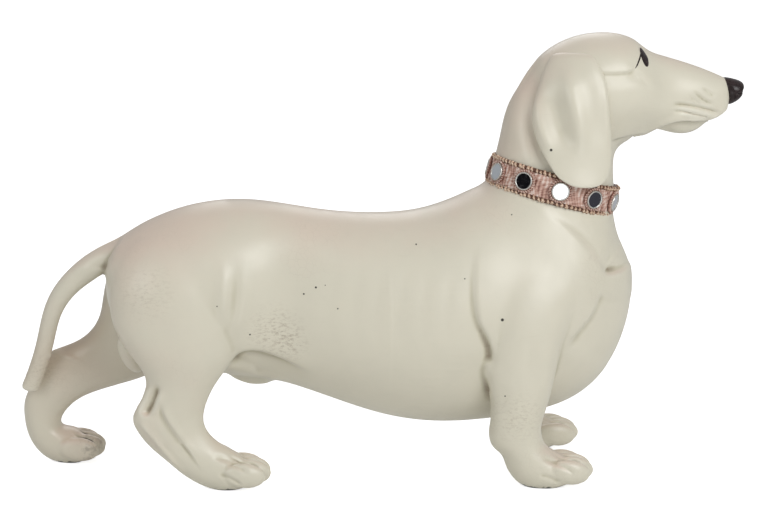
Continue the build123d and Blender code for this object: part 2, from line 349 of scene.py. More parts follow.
BODY = [
    ((-164.5, 136), (-165.5, 112), 0, 13),
    ((-161, 142), (-162.5, 100), 0, 25),
    ((-149, 151), (-152, 87), 0, 35),
    ((-130, 160), (-132, 73), 0, 41),
    ((-110, 166), (-112, 64), 0, 43),
    ((-84, 168.5), (-86, 59), 0, 42),
    ((-58, 164.5), (-60, 56), 0, 40.5),
    ((-32, 159.5), (-34, 47), 0, 42.5),
    ((-6, 158), (-6, 36), 0, 46.5),
    ((20, 159), (22, 30), 0, 50),
    ((40, 165.5), (52, 29.5), 0, 51),
    ((50, 170), (86, 33.5), 0, 49.5),
    ((54, 172), (112, 39.5), 0, 47.5),
    ((57, 173), (131, 53), 0, 45.5),
    ((58.7, 174), (144, 73), 0, 43.5),
    ((60, 175), (151.5, 98), 0, 41),
    ((61.5, 176), (152, 120), 0, 38),
    ((63, 177), (145.5, 140), 0, 35),
    ((64.4, 179), (138, 159), 0, 32.5),
    ((67, 190), (139.5, 171), 0, 31.5),
]
FRONT_LEG = [
    ((112, 152), (62, 156), 23, 9),
    ((117, 136), (56, 138), 28, 13),
    ((115, 118), (54, 118), 33, 17),
    ((109, 104), (54.5, 100), 36, 17),
    ((104, 91), (56.5, 86), 38, 16),
    ((99.5, 75), (57.3, 73), 40, 14.5),
    ((96.5, 60), (58.4, 62), 42, 13),
    ((92.8, 47), (60.2, 51), 43, 12),
    ((91, 36), (60.4, 35), 43, 12),
    ((91, 29), (59.4, 24.5), 43, 12),
    ((92.5, 25), (65.5, 18.5), 43, 12.5),
    ((95.5, 22.5), (70.5, 8.5), 43, 13.5),
    ((99.5, 20.0), (78, -1), 42.5, 14.5),
    ((105, 17), (94, -3), 42, 15),
    ((110, 13), (103, 0), 42, 14),
    ((113, 9.5), (108.5, 3.5), 42, 11),
]
HIND_LEG_FORWARD = [
    ((-96, 154), (-146, 152), 16, 12),
    ((-86, 134), (-159.8, 132), 21, 20),
    ((-84, 110), (-163, 111), 24, 22),
    ((-86, 88), (-159.5, 94), 26, 21),
    ((-92.5, 74), (-149, 79), 29, 17),
    ((-100, 63), (-141, 69), 30, 14),
    ((-106, 53), (-141.5, 57.5), 31, 11.5),
    ((-109, 44), (-148, 47.5), 31.5, 10),
    ((-108, 37), (-149.5, 39.5), 32, 9.5),
    ((-104, 31), (-143, 28), 32, 9.5),
    ((-98, 26), (-131, 17.5), 32, 10),
    ((-95, 25.2), (-123.5, 10.5), 32, 10.5),
    ((-92.5, 23.0), (-114, 3.5), 32, 12),
    ((-87, 20), (-101, -2), 32, 13.5),
    ((-81, 15), (-87, -1), 32, 13),
    ((-77.5, 10.5), (-81, 3.5), 32, 10.5),
]
HIND_LEG_BACK = [
    ((-100, 152), (-146, 150), 16, 12),
    ((-95, 130), (-163, 130), 21, 20),
    ((-100, 92), (-168.5, 108), 24, 20),
    ((-117, 67), (-170, 94), 26, 18),
    ((-139, 56), (-175.5, 84), 27, 14.5),
    ((-158, 50), (-184, 77), 28, 11.5),
    ((-172, 46), (-195, 73), 29, 10.5),
    ((-184, 41.5), (-204, 70), 30, 10),
    ((-192, 35), (-212, 55), 31, 9.5),
    ((-196.5, 28.5), (-218, 41), 32, 9.5),
    ((-197, 24), (-219.5, 26), 33, 10),
    ((-194.5, 22), (-216, 12.5), 33.5, 11.5),
    ((-189, 21.5), (-206.5, 1), 34, 13),
    ((-184.5, 19), (-193, -2), 34, 13.5),
    ((-180, 14.5), (-185, -1), 34, 12.5),
    ((-177, 10.5), (-180, 3), 34, 10),
]
TAIL = [
    ((-140, 152), (-144, 126), 0, 14),
    ((-153, 147.5), (-155, 126), 0.5, 11),
    ((-165, 142.5), (-164, 125), 1, 9),
    ((-179, 133.5), (-170.5, 120.5), 3, 7.4),
    ((-191, 122.5), (-181, 113.5), 5, 6.6),
    ((-199.5, 110.5), (-189.5, 104), 8, 5.9),
    ((-204.2, 98.5), (-194.3, 94), 11, 5.4),
    ((-207.2, 85.5), (-197, 83), 14, 5.1),
    ((-210, 74.5), (-199.8, 72), 16, 5.0),
    ((-214, 63), (-203.8, 61), 17, 4.8),
    ((-218, 53.5), (-208, 50), 18, 4.5),
    ((-219.3, 50.2), (-211, 47.3), 18, 3.9),
]
STEP_FORWARD = 7.0           # the left front paw is this far ahead of the right one
BODY_VOXEL = 0.00114
PAW_TOP = 0.030

body_cage = bmesh.new()
skin_form(body_cage, BODY)
skin_form(body_cage, FRONT_LEG, side=-1)
skin_form(body_cage, FRONT_LEG, side=1, shift=STEP_FORWARD)
skin_form(body_cage, HIND_LEG_FORWARD, side=-1)
skin_form(body_cage, HIND_LEG_BACK, side=1)
skin_form(body_cage, TAIL)
add_lump(body_cage, (-151, -1, 76), (7.5, 8, 13), lean=-22)
add_lump(body_cage, (-80, 0, 61), (17, 5.5, 7.5), lean=10)
for tip, y, pad in ((121.5, -42, 10.3), (121.5 + STEP_FORWARD, 42, 10.3), (-69, -32, 10.3), (-169.5, 34, 10)):
    for place in (-1.5, -0.5, 0.5, 1.5):
        back = 3.5 if abs(place) > 1 else 0.0
        add_lump(body_cage, (tip - 12.5 - back, y + place * 8.0, pad), (12.5, 4.5, 7.2), lean=7)
body_mesh = voxel_skin(body_cage, "body_draft", BODY_VOXEL)

paws = bmesh.new()
paws.from_mesh(body_mesh)
paw_edges = [edge for edge in paws.edges if max(vert.co.z for vert in edge.verts) < PAW_TOP]
bmesh.ops.subdivide_edges(paws, edges=paw_edges, cuts=1, use_grid_fill=True)
paws.to_mesh(body_mesh)
paws.free()

body = Clay(body_mesh)
body.smooth(5, keep=True)
# where limbs were stuck on, the slip is wiped smooth
body.smooth(170, (86, 40, 147), (34, 20, 22))
body.smooth(60, (-120, 38, 140), (34, 16, 18))
body.smooth(40, (-160, 0, 134), (8, 12, 10))
body.smooth(80, (-158, 0, 149), (11, 12, 6))
body.smooth(30, (-80, 0, 62), (16, 12, 6))

# shoulder: blade, point of shoulder, and the step down to the ribs behind it
body.swell((62, 30, 164), (16, 12, 13), 1.6)
body.swell((110, 40, 117), (13, 12, 17), 2.6)
body.swell((74, 46, 112), (18, 12, 32), 0.8)
body.settle()
body.fold([(53, 148), (50, 136), (48.5, 120), (50, 104), (54.5, 93), (59, 82), (57, 74), (56, 68), (58, 61),
           (60, 52), (60, 40)], 16.0, 3.8, lip=0.2, ends=(0.5, 0.3), crisp=4.0, facing=0.15)
body.settle()
body.score([(50.5, 104), (53.5, 95), (57.5, 86), (58.5, 80), (57, 74)], 2.2, 1.5, ends=(0.6, 0.15),
           facing=0.05)
body.settle()
body.fold([(84, 172), (96, 161), (110, 151), (121, 139), (129, 127)][::-1], 10.0, 2.0, ends=(0.05, 0.6),
          crisp=7.0, facing=0.1)
body.settle()
body.fold([(124, 127), (131, 125.5), (138, 125), (146, 126), (154, 128)][::-1], 12.0, 3.0, lip=0.2,
          crisp=4.5, ends=(0.55, 0.3), facing=0.01)
body.swell((143, 14, 143), (8, 20, 9), -1.3)
body.swell((151, 12, 125), (8, 18, 6), 0.7)
body.score([(127, 128.5), (132, 126.5), (138, 126.5)], 2.4, 1.3, ends=(0.4, 0.4))
body.fold([(127, 118), (125.5, 113), (123, 104), (117, 96), (109, 88), (103, 79)][::-1], 14.0, 3.4,
          lip=0.4, ends=(0.3, 0.2), crisp=6.5, facing=0.1)
body.settle()
for side, shift in ((-1, 0.0), (1, STEP_FORWARD)):
    body.swell((58 + shift, 47 * side, 69), (4.5, 8, 6), 0.7, both=False)
    body.score([(91 + shift, 98), (92 + shift, 80), (90 + shift, 62), (86 + shift, 46)], 4.0, -1.0, side,
               ends=(0.4, 0.5))
    body.score([(82 + shift, 96), (81 + shift, 78), (79 + shift, 58)], 4.0, 0.7, side, ends=(0.4, 0.5))
    body.score([(66 + shift, 66), (66 + shift, 50), (68 + shift, 34)], 3.5, 0.5, side, ends=(0.3, 0.5))
    # wrist, and the step in to the heel pad under it
    body.swell((63 + shift, 43 * side, 33), (5, 9, 5), 1.3, both=False)
    body.swell((66 + shift, 43 * side, 19), (5, 12, 4.5), -1.6, both=False)
    body.swell((92 + shift, 43 * side, 36), (6, 12, 6), -1.2, both=False)

# haunch, flank and the fold of skin between thigh and belly
body.swell((-126, 42, 112), (24, 12, 26), 1.6)
body.swell((-64, 40, 110), (12, 12, 25), -4.8)
body.swell((-44, 42, 104), (10, 12, 26), -0.8)
body.swell((-80, 10, 60), (26, 30, 7), -1.5)
body.settle()
body.score([(-96.5, 141), (-95.5, 127), (-95.5, 110), (-98, 90)], 4.6, -1.8, ends=(0.5, 0.5))
body.score([(-89.5, 138), (-89.5, 122), (-91, 104), (-94, 92)], 3.4, 0.9, ends=(0.5, 0.5))
body.score([(-83, 143), (-83.5, 126), (-86, 108), (-91, 86)], 4.0, -1.2, ends=(0.55, 0.3))
body.settle()
body.fold([(-93, 69), (-90, 77), (-84, 81.5), (-76, 81), (-66, 77), (-56, 72.5), (-42, 65)], 13.0, 7.0,
          lip=0.8, crisp=4.5, ends=(0.12, 0.5), facing=0.02, inner=12.0)
body.settle()
body.smooth(10, (-74, 34, 76), (24, 16, 12))
body.smooth(12, (-80, 0, 58), (22, 9, 7))
for rib in range(6):
    start = -34 + rib * 13.5
    body.score([(start + 6, 140), (start, 118), (start - 2, 96), (start + 5, 74)], 3.6, 0.28,
               ends=(0.45, 0.45))
body.swell((10, 48, 90), (40, 12, 30), 0.8)

# cleft under the tail, down between the haunches
body.score([(-172, 0, 120), (-168, 0, 113), (-165, 0, 104), (-160, 0, 92), (-154, 0, 84)], 4.2, 3.2,
           ends=(0.3, 0.2))
body.fold([(-151, 151), (-155, 146), (-159, 141), (-162.5, 136), (-165, 131), (-166, 126)], 6.0, 2.0, side=-1,
          lip=0.5, crisp=2.4, ends=(0.5, 0.05), facing=0.05)
body.settle()
body.score([(-158, 141), (-161, 137), (-164, 132), (-166.5, 127), (-167.5, 122)], 1.4, 0.9, side=-1,
           ends=(0.6, 0.05), facing=0.02)
body.settle()

# right hock: slit in front of the tendon, and two crests down the pastern
body.score([(-134, 66), (-137, 59), (-140, 52.5), (-143.5, 46)], 2.0, 3.4, side=-1, ends=(0.35, 0.15))
body.settle()
body.score([(-139, 64), (-143, 54), (-146.5, 46)], 1.8, -0.9, side=-1, facing=0.1)
body.score([(-132, 62), (-134, 54), (-137, 46)], 2.0, -0.8, side=-1)
body.settle()
body.fold([(-133, 56), (-132.5, 49), (-129, 42), (-123, 33), (-115, 22), (-110, 12)], 5.0, 2.1, side=-1,
          lip=0.8, crisp=1.4, ends=(0.15, 0.35), facing=0.1)
body.settle()
body.score([(-146, 44), (-140, 36.5), (-132, 26), (-123, 14), (-117, 7)], 1.6, -1.2, side=-1,
           ends=(0.15, 0.4), facing=0.02)
body.swell((-104, 34, 33), (5, 12, 6), -0.8, both=False)
body.swell((-147, 32, 44), (5, 9, 5), 1.2)
# left hock, with the tail lying across it
body.score([(-204, 72), (-196, 70), (-186, 67), (-178, 62)], 1.8, -1.2, side=-1, inner=-40, ends=(0.2, 0.5))
body.swell((-216, 31, 38), (5, 9, 6), 0.9, both=False)
body.settle()


def part_toes(clay, tip, heel, y, height):
    """Three clefts part four toes, from the paw's top over the front and down to the ground."""
    for place in (-8.0, 0.0, 8.0):
        bend = 2.5 if place else 0.0
        line = [(heel, y + place * 0.6, height + 3), (tip - 17 - bend, y + place * 0.9, height),
                (tip - 9 - bend, y + place, height - 2), (tip - 4 - bend, y + place, height * 0.5),
                (tip - 6 - bend, y + place, 2), (tip - 9 - bend, y + place, -2)]
        clay.score(line, 1.5, 1.7, ends=(0.5, 0.03))
        clay.settle()


part_toes(body, 121, 92, -42, 18.5)
part_toes(body, 121 + STEP_FORWARD, 99, 42, 18.5)
part_toes(body, -69.5, -98, -32, 19)
part_toes(body, -170, -194, 34, 18.5)
# outer toes, knuckles and pads as they show from the side
for shift, side in ((0.0, -1), (STEP_FORWARD, 1)):
    body.score([(88 + shift, 20), (96 + shift, 17), (104 + shift, 13.5), (109 + shift, 9)], 1.6, 0.9, side)
    body.score([(86 + shift, 10), (93 + shift, 8.5), (100 + shift, 4)], 1.5, 0.8, side)
body.score([(-104, 22), (-96, 20), (-88, 16.5), (-82, 12)], 1.6, 0.9, -1)
body.score([(-101, 12), (-93, 9.5), (-86, 5)], 1.5, 0.8, -1)
body.settle()
body.smooth(2, keep=True)

# ---- Head and neck -------------------------------------------------------------------------------
# The head is a casting of its own, luted to the body's neck under the collar. The muzzle's wrinkles,
# lip and brow were drawn in the clay with a wooden tool.

HEAD = [
    ((64.4, 179), (138, 159), 0, 32.5),
    ((67, 190), (139.5, 170), 0, 31.5),
    ((70, 202), (138.5, 180), 0, 30.5),
    ((73.5, 216), (138.5, 187), 0, 29.5),
    ((79, 231), (139, 191.5), 0, 29.5),
    ((88, 246), (141, 195.5), 0, 30.5),
    ((100, 257), (145, 199), 0, 31.5),
    ((116, 264), (151, 202.5), 0, 31),
    ((134, 265.5), (158, 205), 0, 28),
    ((148, 262.5), (165, 205.5), 0, 23.5),
    ((158, 254.5), (171, 205), 0, 19),
    ((170, 250), (179, 204.5), 0, 16),
    ((184, 246), (188, 206), 0, 13.5),
    ((197, 241), (197, 210), 0, 11),
    ((205, 237.5), (204, 214), 0, 8.8),
    ((208.5, 235.5), (208, 218), 0, 5.5),
]
HEAD_VOXEL = 0.00075

head_cage = bmesh.new()
skin_form(head_cage, HEAD)
head_mesh = voxel_skin(head_cage, "head_draft", HEAD_VOXEL)
head = Clay(head_mesh)
head.smooth(5, keep=True)

head.swell((136, 25, 252), (11, 9, 6.5), 1.3)
head.swell((150, 15, 262), (6, 7, 5), 1.0)
head.swell((160, 0, 256), (6, 5, 6), -0.8)
head.swell((150, 24, 228), (14, 8, 11), 0.9)
head.swell((166, 18, 238), (10, 6, 7), -0.7)
head.swell((192, 10, 228), (12, 6, 10), 0.7)
head.settle()
head.fold([(122, 243), (130, 242.5), (138, 242.5), (143, 243.5), (147, 247)], 10.0, 1.3, lip=0.3, crisp=2.0,
          ends=(0.1, 0.25))
head.settle()
head.score([(139, 242), (146, 240.5), (152, 236.5), (158, 230)], 2.6, 0.6, ends=(0.3, 0.5))
head.score([(150, 262), (152, 257), (155, 250)], 2.2, 0.5, ends=(0.5, 0.3), facing=0.1)
# neck: a long hollow behind the ear, with the muscle standing behind it
head.score([(95, 250), (88, 240), (85, 226), (85.5, 210), (90, 196), (96, 184)], 5.0, 2.6, ends=(0.25, 0.3),
           facing=0.15)
head.score([(82, 236), (77, 222), (75.5, 208), (78, 194)], 6.0, -0.9, ends=(0.4, 0.5), facing=0.1)
# wrinkles of the muzzle
head.score([(183, 231), (187, 227), (192, 223.5), (198, 221.5)], 1.1, 1.2, ends=(0.35, 0.35))
head.score([(179, 228.5), (185, 224), (191, 221.5)], 1.0, 0.9, ends=(0.5, 0.4))
head.score([(189, 233), (193, 229), (198, 226.5)], 0.8, 0.6)
head.score([(168, 223), (178, 222.3), (187, 220.5), (196, 218), (202, 217)], 1.15, 1.9)
head.score([(169, 219.5), (179, 218), (188, 215.5), (196, 214.5)], 1.1, 1.5)
head.settle()
# lips: the upper lip hangs over the jaw, with a second fold in front
head.swell((178, 9, 217), (14, 5, 4), 1.3)
head.settle()
head.fold([(144, 203), (150, 204), (156, 205), (163, 208.5), (170, 211.8), (178, 212.8), (187, 212),
           (195, 212.5), (202, 215), (208, 220)], 5.0, 3.6, lip=0.9, crisp=1.2, ends=(0.2, 0.06), facing=0.02)
head.settle()
head.fold([(174, 216.2), (182, 215), (188, 213.8), (196, 213.6)], 2.2, 1.0, lip=0.4, crisp=1.2,
          ends=(0.3, 0.2))
head.swell((184, 5, 207), (11, 6, 3.5), 2.4)
head.swell((166, 8, 206), (6, 6, 3), -0.5)
head.swell((152, 6, 203), (9, 9, 4), 1.2)
head.fold([(132, 202), (140, 203.5), (148, 204.5), (156, 205.5)], 7.0, 1.6, lip=0.3, crisp=2.2, facing=0.05)
head.settle()
head.smooth(1, keep=True)

# ---- Glaze ---------------------------------------------------------------------------------------
# A cream satin glaze lies over a pinkish buff body. It is thin on the back and rump, pools olive in the
# folds, where grime has settled and shade is painted in, is painted paler on proud points, and it is crazed,
# scratched and pinholed.

CREAM = (0.70, 0.665, 0.545)
BUFF = (0.72, 0.60, 0.50)
# the olive and the grime colour darken the hollows, as glaze pooling and grime and as painted shade; the
# grime colour also draws the crazing
OLIVE_POOL_SHADE = (0.50, 0.47, 0.33)
GRIME_AND_SHADE = (0.20, 0.14, 0.085)
# pinholes as seen from the right side: x, z and radius
PINHOLES = ((65, 102, 1.05), (-42.4, 120.7, 0.7), (-49.4, 116.8, 0.6), (-30, 108.7, 0.5), (-80.8, 93.3, 0.6),
            (16.6, 144, 0.5), (-99.6, 111.5, 0.45), (72.7, 160.7, 0.45), (-199.2, 94.8, 0.6), (66.8, 57, 0.5),
            (43.6, 125.6, 0.45), (-37, 122, 0.35))
# darker streaked patches: x, z, reach and strength; those on the flank hollow are grime and painted shade
DARK_STREAK_PATCHES = ((-66, 94, 23, 0.55), (-58, 86, 16, 0.4), (-140, 120, 24, 0.25), (74, 44, 22, 0.3),
          (-205, 60, 18, 0.35))


def node(tree, kind, **values):
    """Add a node; names with a letter and number set its properties, others its inputs."""
    made = tree.nodes.new(kind)
    for name, value in values.items():
        if hasattr(made, name):
            setattr(made, name, value)
        else:
            target = made.inputs[int(name[2:])] if name.startswith("in") else made.inputs[name]
            if isinstance(value, bpy.types.NodeSocket):
                tree.links.new(value, target)
            else:
                target.default_value = value
    return made


def mixed(tree, factor, first, second, blend="MIX"):
    """Colour mix of two colours or sockets."""
    mix = node(tree, "ShaderNodeMix", data_type="RGBA", blend_type=blend)
    for number, value in ((0, factor), (6, first), (7, second)):
        if isinstance(value, bpy.types.NodeSocket):
            tree.links.new(value, mix.inputs[number])
        elif isinstance(value, tuple):
            mix.inputs[number].default_value = (*value[:3], 1.0)
        else:
            mix.inputs[number].default_value = value
    return mix.outputs[2]


def spread(tree, value, low, high, bottom=0.0, top=1.0):
    """Map a value from one range to another, smoothly and clamped."""
    ramp = node(tree, "ShaderNodeMapRange", interpolation_type="SMOOTHSTEP", in0=value, in1=low, in2=high,
                in3=bottom, in4=top)
    return ramp.outputs[0]


def reckon(tree, operation, first, second=0.0):
    """Math node on two values or sockets."""
    return node(tree, "ShaderNodeMath", operation=operation, in0=first, in1=second).outputs[0]


def noise(tree, place, scale, detail=3.0, roughness=0.55):
    """Noise value at a place."""
    made = node(tree, "ShaderNodeTexNoise", Vector=place, Scale=scale, Detail=detail, Roughness=roughness)
    return made.outputs[0]


glaze_group = bpy.data.node_groups.new("old_glaze", "ShaderNodeTree")
for socket_name, kind in (("Thinness", "NodeSocketFloat"), ("Hollow", "NodeSocketFloat")):
    glaze_group.interface.new_socket(socket_name, in_out="INPUT", socket_type=kind)
for socket_name, kind in (("Colour", "NodeSocketColor"), ("Roughness", "NodeSocketFloat"),
                          ("Relief", "NodeSocketFloat")):
    glaze_group.interface.new_socket(socket_name, in_out="OUTPUT", socket_type=kind)
group_in = glaze_group.nodes.new("NodeGroupInput")
group_out = glaze_group.nodes.new("NodeGroupOutput")
place = node(glaze_group, "ShaderNodeTexCoord").outputs["Object"]
cloud = noise(glaze_group, place, 14.0, 4.0)
mottle = noise(glaze_group, place, 60.0, 5.0)
grit = noise(glaze_group, place, 420.0, 4.0, 0.65)
stretched = node(glaze_group, "ShaderNodeMapping", Vector=place, Rotation=(0.0, 0.7, 0.3),
                 Scale=(1.0, 1.0, 14.0))
streaks = noise(glaze_group, stretched.outputs[0], 55.0, 4.0, 0.6)

thin = reckon(glaze_group, "MULTIPLY_ADD", cloud, 1.2)
thin.node.inputs[2].default_value = -0.6
thin = reckon(glaze_group, "ADD", thin, group_in.outputs["Thinness"])
thin = spread(glaze_group, thin, 0.15, 1.0)
colour = mixed(glaze_group, thin, CREAM, BUFF)
colour = mixed(glaze_group, spread(glaze_group, mottle, 0.35, 0.75, 0.0, 0.16), colour, (0.60, 0.58, 0.48))
colour = mixed(glaze_group, spread(glaze_group, streaks, 0.62, 0.80, 0.0, 0.14), colour, (0.52, 0.47, 0.36))

# painted shade: the glaze turns olive, then dark brown, in the skin's hollows; partly glaze pooling and
# grime, partly shade painted into the creases
pool_and_shade = spread(glaze_group, group_in.outputs["Hollow"], 0.02, 0.55)
grime_and_shade = spread(glaze_group, group_in.outputs["Hollow"], 0.30, 1.5)
grime_and_shade = reckon(glaze_group, "MULTIPLY", grime_and_shade, spread(glaze_group, mottle, 0.25, 0.6, 0.35, 1.0))
colour = mixed(glaze_group, reckon(glaze_group, "MULTIPLY", pool_and_shade, 0.45), colour, OLIVE_POOL_SHADE)
colour = mixed(glaze_group, reckon(glaze_group, "MULTIPLY", grime_and_shade, 0.8), colour, GRIME_AND_SHADE)
# painted highlight: proud points turn paler cream, partly worn glaze and partly light painted on the rises
wear_and_highlight = reckon(glaze_group, "MULTIPLY", group_in.outputs["Hollow"], -1.0)
wear_and_highlight = spread(glaze_group, wear_and_highlight, 0.25, 1.2, 0.0, 0.5)
colour = mixed(glaze_group, wear_and_highlight, colour, (0.80, 0.77, 0.66))

warp = node(glaze_group, "ShaderNodeTexNoise", Vector=place, Scale=90.0, Detail=2.0).outputs["Color"]
warped = node(glaze_group, "ShaderNodeVectorMath", operation="MULTIPLY_ADD", in0=warp,
              in1=(0.006, 0.006, 0.006), in2=place).outputs[0]
crazing = node(glaze_group, "ShaderNodeTexVoronoi", feature="DISTANCE_TO_EDGE", Vector=warped, Scale=260.0)
craze_mask = spread(glaze_group, crazing.outputs["Distance"], 0.0, 0.05, 1.0, 0.0)
craze_where = reckon(glaze_group, "MULTIPLY", craze_mask, spread(glaze_group, cloud, 0.52, 0.66))
colour = mixed(glaze_group, reckon(glaze_group, "MULTIPLY", craze_where, 0.07), colour, GRIME_AND_SHADE)
fleck = spread(glaze_group, grit, 0.74, 0.80, 0.0, 0.4)
colour = mixed(glaze_group, fleck, colour, (0.42, 0.34, 0.25))
glaze_group.links.new(colour, group_out.inputs["Colour"])
dull = reckon(glaze_group, "ADD", spread(glaze_group, mottle, 0.3, 0.7, 0.30, 0.44),
              reckon(glaze_group, "MULTIPLY", grime_and_shade, 0.3))
glaze_group.links.new(dull, group_out.inputs["Roughness"])
relief = reckon(glaze_group, "SUBTRACT", reckon(glaze_group, "MULTIPLY", mottle, 0.5),
                reckon(glaze_group, "MULTIPLY", craze_where, 0.25))
relief = reckon(glaze_group, "ADD", relief, reckon(glaze_group, "MULTIPLY", grit, 0.15))
glaze_group.links.new(relief, group_out.inputs["Relief"])


def patch_at(tree, parts, x, z, near, reach, top):
    """How much a place on the side view is covered by a round patch, from near out to its reach."""
    flat = node(tree, "ShaderNodeCombineXYZ", in0=parts[0], in2=parts[2]).outputs[0]
    off = node(tree, "ShaderNodeVectorMath", operation="DISTANCE", in0=flat, in1=(x * MM, 0.0, z * MM))
    return spread(tree, off.outputs["Value"], near * MM, reach * MM, top, 0.0)


def glaze_material(name, pinholes=(), body_marks_and_shade=False):
    """Cream satin glaze, thin where the form faces up and to the rear."""
    material, shader = plain_material(name, CREAM, 0.4)
    tree = material.node_tree
    place = node(tree, "ShaderNodeTexCoord").outputs["Object"]
    parts = node(tree, "ShaderNodeSeparateXYZ", Vector=place).outputs
    normal = node(tree, "ShaderNodeNewGeometry").outputs["Normal"]
    _, leftward, up = node(tree, "ShaderNodeSeparateXYZ", Vector=normal).outputs
    thin = reckon(tree, "ADD", spread(tree, up, 0.1, 0.95, 0.0, 0.55),
                  spread(tree, parts[0], 0.02, -0.17, 0.0, 0.32))
    nape = spread(tree, node(tree, "ShaderNodeVectorMath", operation="DISTANCE", in0=place,
                             in1=(0.078, 0.0, 0.215)).outputs["Value"], 0.02, 0.055, 0.5, 0.0)
    thin = reckon(tree, "ADD", thin, nape)
    hollow = node(tree, "ShaderNodeAttribute", attribute_name="hollow").outputs["Fac"]
    glaze = node(tree, "ShaderNodeGroup", node_tree=glaze_group, Thinness=thin, Hollow=hollow)
    colour = glaze.outputs["Colour"]
    for x, z, radius in pinholes:
        spot = patch_at(tree, parts, x, z, radius * 0.7, radius, 1.0)
        spot = reckon(tree, "MULTIPLY", spot, spread(tree, parts[1], 0.0, -0.01))
        colour = mixed(tree, spot, colour, (0.02, 0.017, 0.01))
    if body_marks_and_shade:
        # darker streaks in patches; over the flank hollow they are grime and painted shade
        for x, z, reach, strength in DARK_STREAK_PATCHES:
            patch = patch_at(tree, parts, x, z, 0.0, reach, strength)
            drawn = node(tree, "ShaderNodeMapping", Vector=place, Rotation=(0.0, 0.5, 0.0),
                         Scale=(1.0, 1.0, 2.2))
            dark_streaks = spread(tree, noise(tree, drawn.outputs[0], 330.0, 4.0, 0.75), 0.46, 0.68)
            colour = mixed(tree, reckon(tree, "MULTIPLY", patch, dark_streaks), colour, (0.30, 0.235, 0.16))
        # soles are rubbed bare and dark where they stand
        ragged = reckon(tree, "ADD", parts[2], reckon(tree, "MULTIPLY", noise(tree, place, 160.0), 0.006))
        bare = spread(tree, ragged, 0.0040, 0.0044, 1.0, 0.0)
        colour = mixed(tree, bare, colour, (0.035, 0.04, 0.03))
        # the clefts between the toes of the left hind paw are darkened along the skin's hollows
        toes = spread(tree, parts[0], -0.188, -0.180)
        toes = reckon(tree, "MULTIPLY", toes, spread(tree, parts[0], -0.150, -0.165))
        toes = reckon(tree, "MULTIPLY", toes, spread(tree, parts[2], 0.026, 0.018))
        lines = reckon(tree, "ADD", spread(tree, hollow, 0.0, 0.30, 0.0, 0.85),
                       spread(tree, noise(tree, place, 240.0), 0.42, 0.66, 0.0, 0.4))
        colour = mixed(tree, reckon(tree, "MULTIPLY", toes, lines), colour, (0.10, 0.075, 0.06))
        # painted shade: the inner sides of the left legs, on the side away from the lamps, are darkened brown
        far_side_shade = reckon(tree, "MULTIPLY", spread(tree, parts[1], 0.004, 0.022),
                     spread(tree, parts[2], 0.125, 0.095))
        far_side_shade = reckon(tree, "MULTIPLY", far_side_shade, spread(tree, parts[2], 0.045, 0.070, 0.1, 0.55))
        far_side_shade = reckon(tree, "MULTIPLY", far_side_shade, spread(tree, leftward, 0.2, -0.4))
        colour = mixed(tree, far_side_shade, colour, (0.46, 0.37, 0.27))
    tree.links.new(colour, shader.inputs["Base Color"])
    tree.links.new(glaze.outputs["Roughness"], shader.inputs["Roughness"])
    bump = node(tree, "ShaderNodeBump", Height=glaze.outputs["Relief"], Distance=0.00035, Strength=0.35)
    tree.links.new(bump.outputs[0], shader.inputs["Normal"])
    shader.inputs["Specular IOR Level"].default_value = 0.5
    shader.inputs["Coat Weight"].default_value = 0.25
    shader.inputs["Coat Roughness"].default_value = 0.28
    return material


body_glaze = glaze_material("cream_glaze_body", PINHOLES, body_marks_and_shade=True)
head_glaze = glaze_material("cream_glaze_head")

# ---- Castings ------------------------------------------------------------------------------------
# The skin is cut where the figure's castings are luted together: four legs, the tail, the torso and
# the head. Each keeps the whole skin's normals, so that no join shows in the glaze. The neck joint
# lies in the collar's middle plane.

COLLAR_CENTRE = Vector((102.3, 0.0, 174.0)) * MM
NECK_LEAN = math.radians(15.0)
NECK_AXIS = Vector((math.sin(NECK_LEAN), 0.0, math.cos(NECK_LEAN)))


def trimmed(mesh, place, away):
    """Cut a closed mesh at a plane, drop the side that away points to, and close the cut."""
    build = bmesh.new()
    build.from_mesh(mesh)
    geometry = build.verts[:] + build.edges[:] + build.faces[:]
    cut = bmesh.ops.bisect_plane(build, geom=geometry, plane_co=place, plane_no=away, clear_outer=True)
    rim = [item for item in cut["geom_cut"] if isinstance(item, bmesh.types.BMEdge)]
    bmesh.ops.holes_fill(build, edges=rim, sides=0)
    return build


def place_casting(mesh, name, material, *nodes):
    """Show a casting's mesh in place of its CAD nodes, shaded as the uncut skin was."""
    piece = bpy.data.objects.new(name, mesh)
    bpy.context.scene.collection.objects.link(piece)
    mesh.materials.clear()
    mesh.materials.append(material)
    mesh.shade_smooth()
    skin_normals = np.empty(len(mesh.vertices) * 3)
    mesh.attributes["skin_normal"].data.foreach_get("vector", skin_normals)
    skin_normals = skin_normals.reshape(-1, 3)
    for new in np.nonzero(np.abs(skin_normals).sum(1) < 0.5)[0]:
        nearest = skin_tree.find(mesh.vertices[new].co)[1]
        skin_normals[new] = body.normals[nearest]
        mesh.attributes["hollow"].data[new].value = body.hollows[nearest]
    corners = np.empty(len(mesh.loops), dtype=np.int32)
    mesh.loops.foreach_get("vertex_index", corners)
    corner_normals = skin_normals[corners]
    totals = np.empty(len(mesh.polygons), dtype=np.int32)
    mesh.polygons.foreach_get("loop_total", totals)
    face_normals = np.empty(len(mesh.polygons) * 3)
    mesh.polygons.foreach_get("normal", face_normals)
    face_normals = np.repeat(face_normals.reshape(-1, 3), totals, axis=0)
    cut_face = (corner_normals * face_normals).sum(1) < 0.1
    corner_normals[cut_face] = face_normals[cut_face]
    mesh.normals_split_custom_set(corner_normals.tolist())
    mesh.attributes.remove(mesh.attributes["skin_normal"])
    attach(piece, "root")
    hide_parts(*nodes)


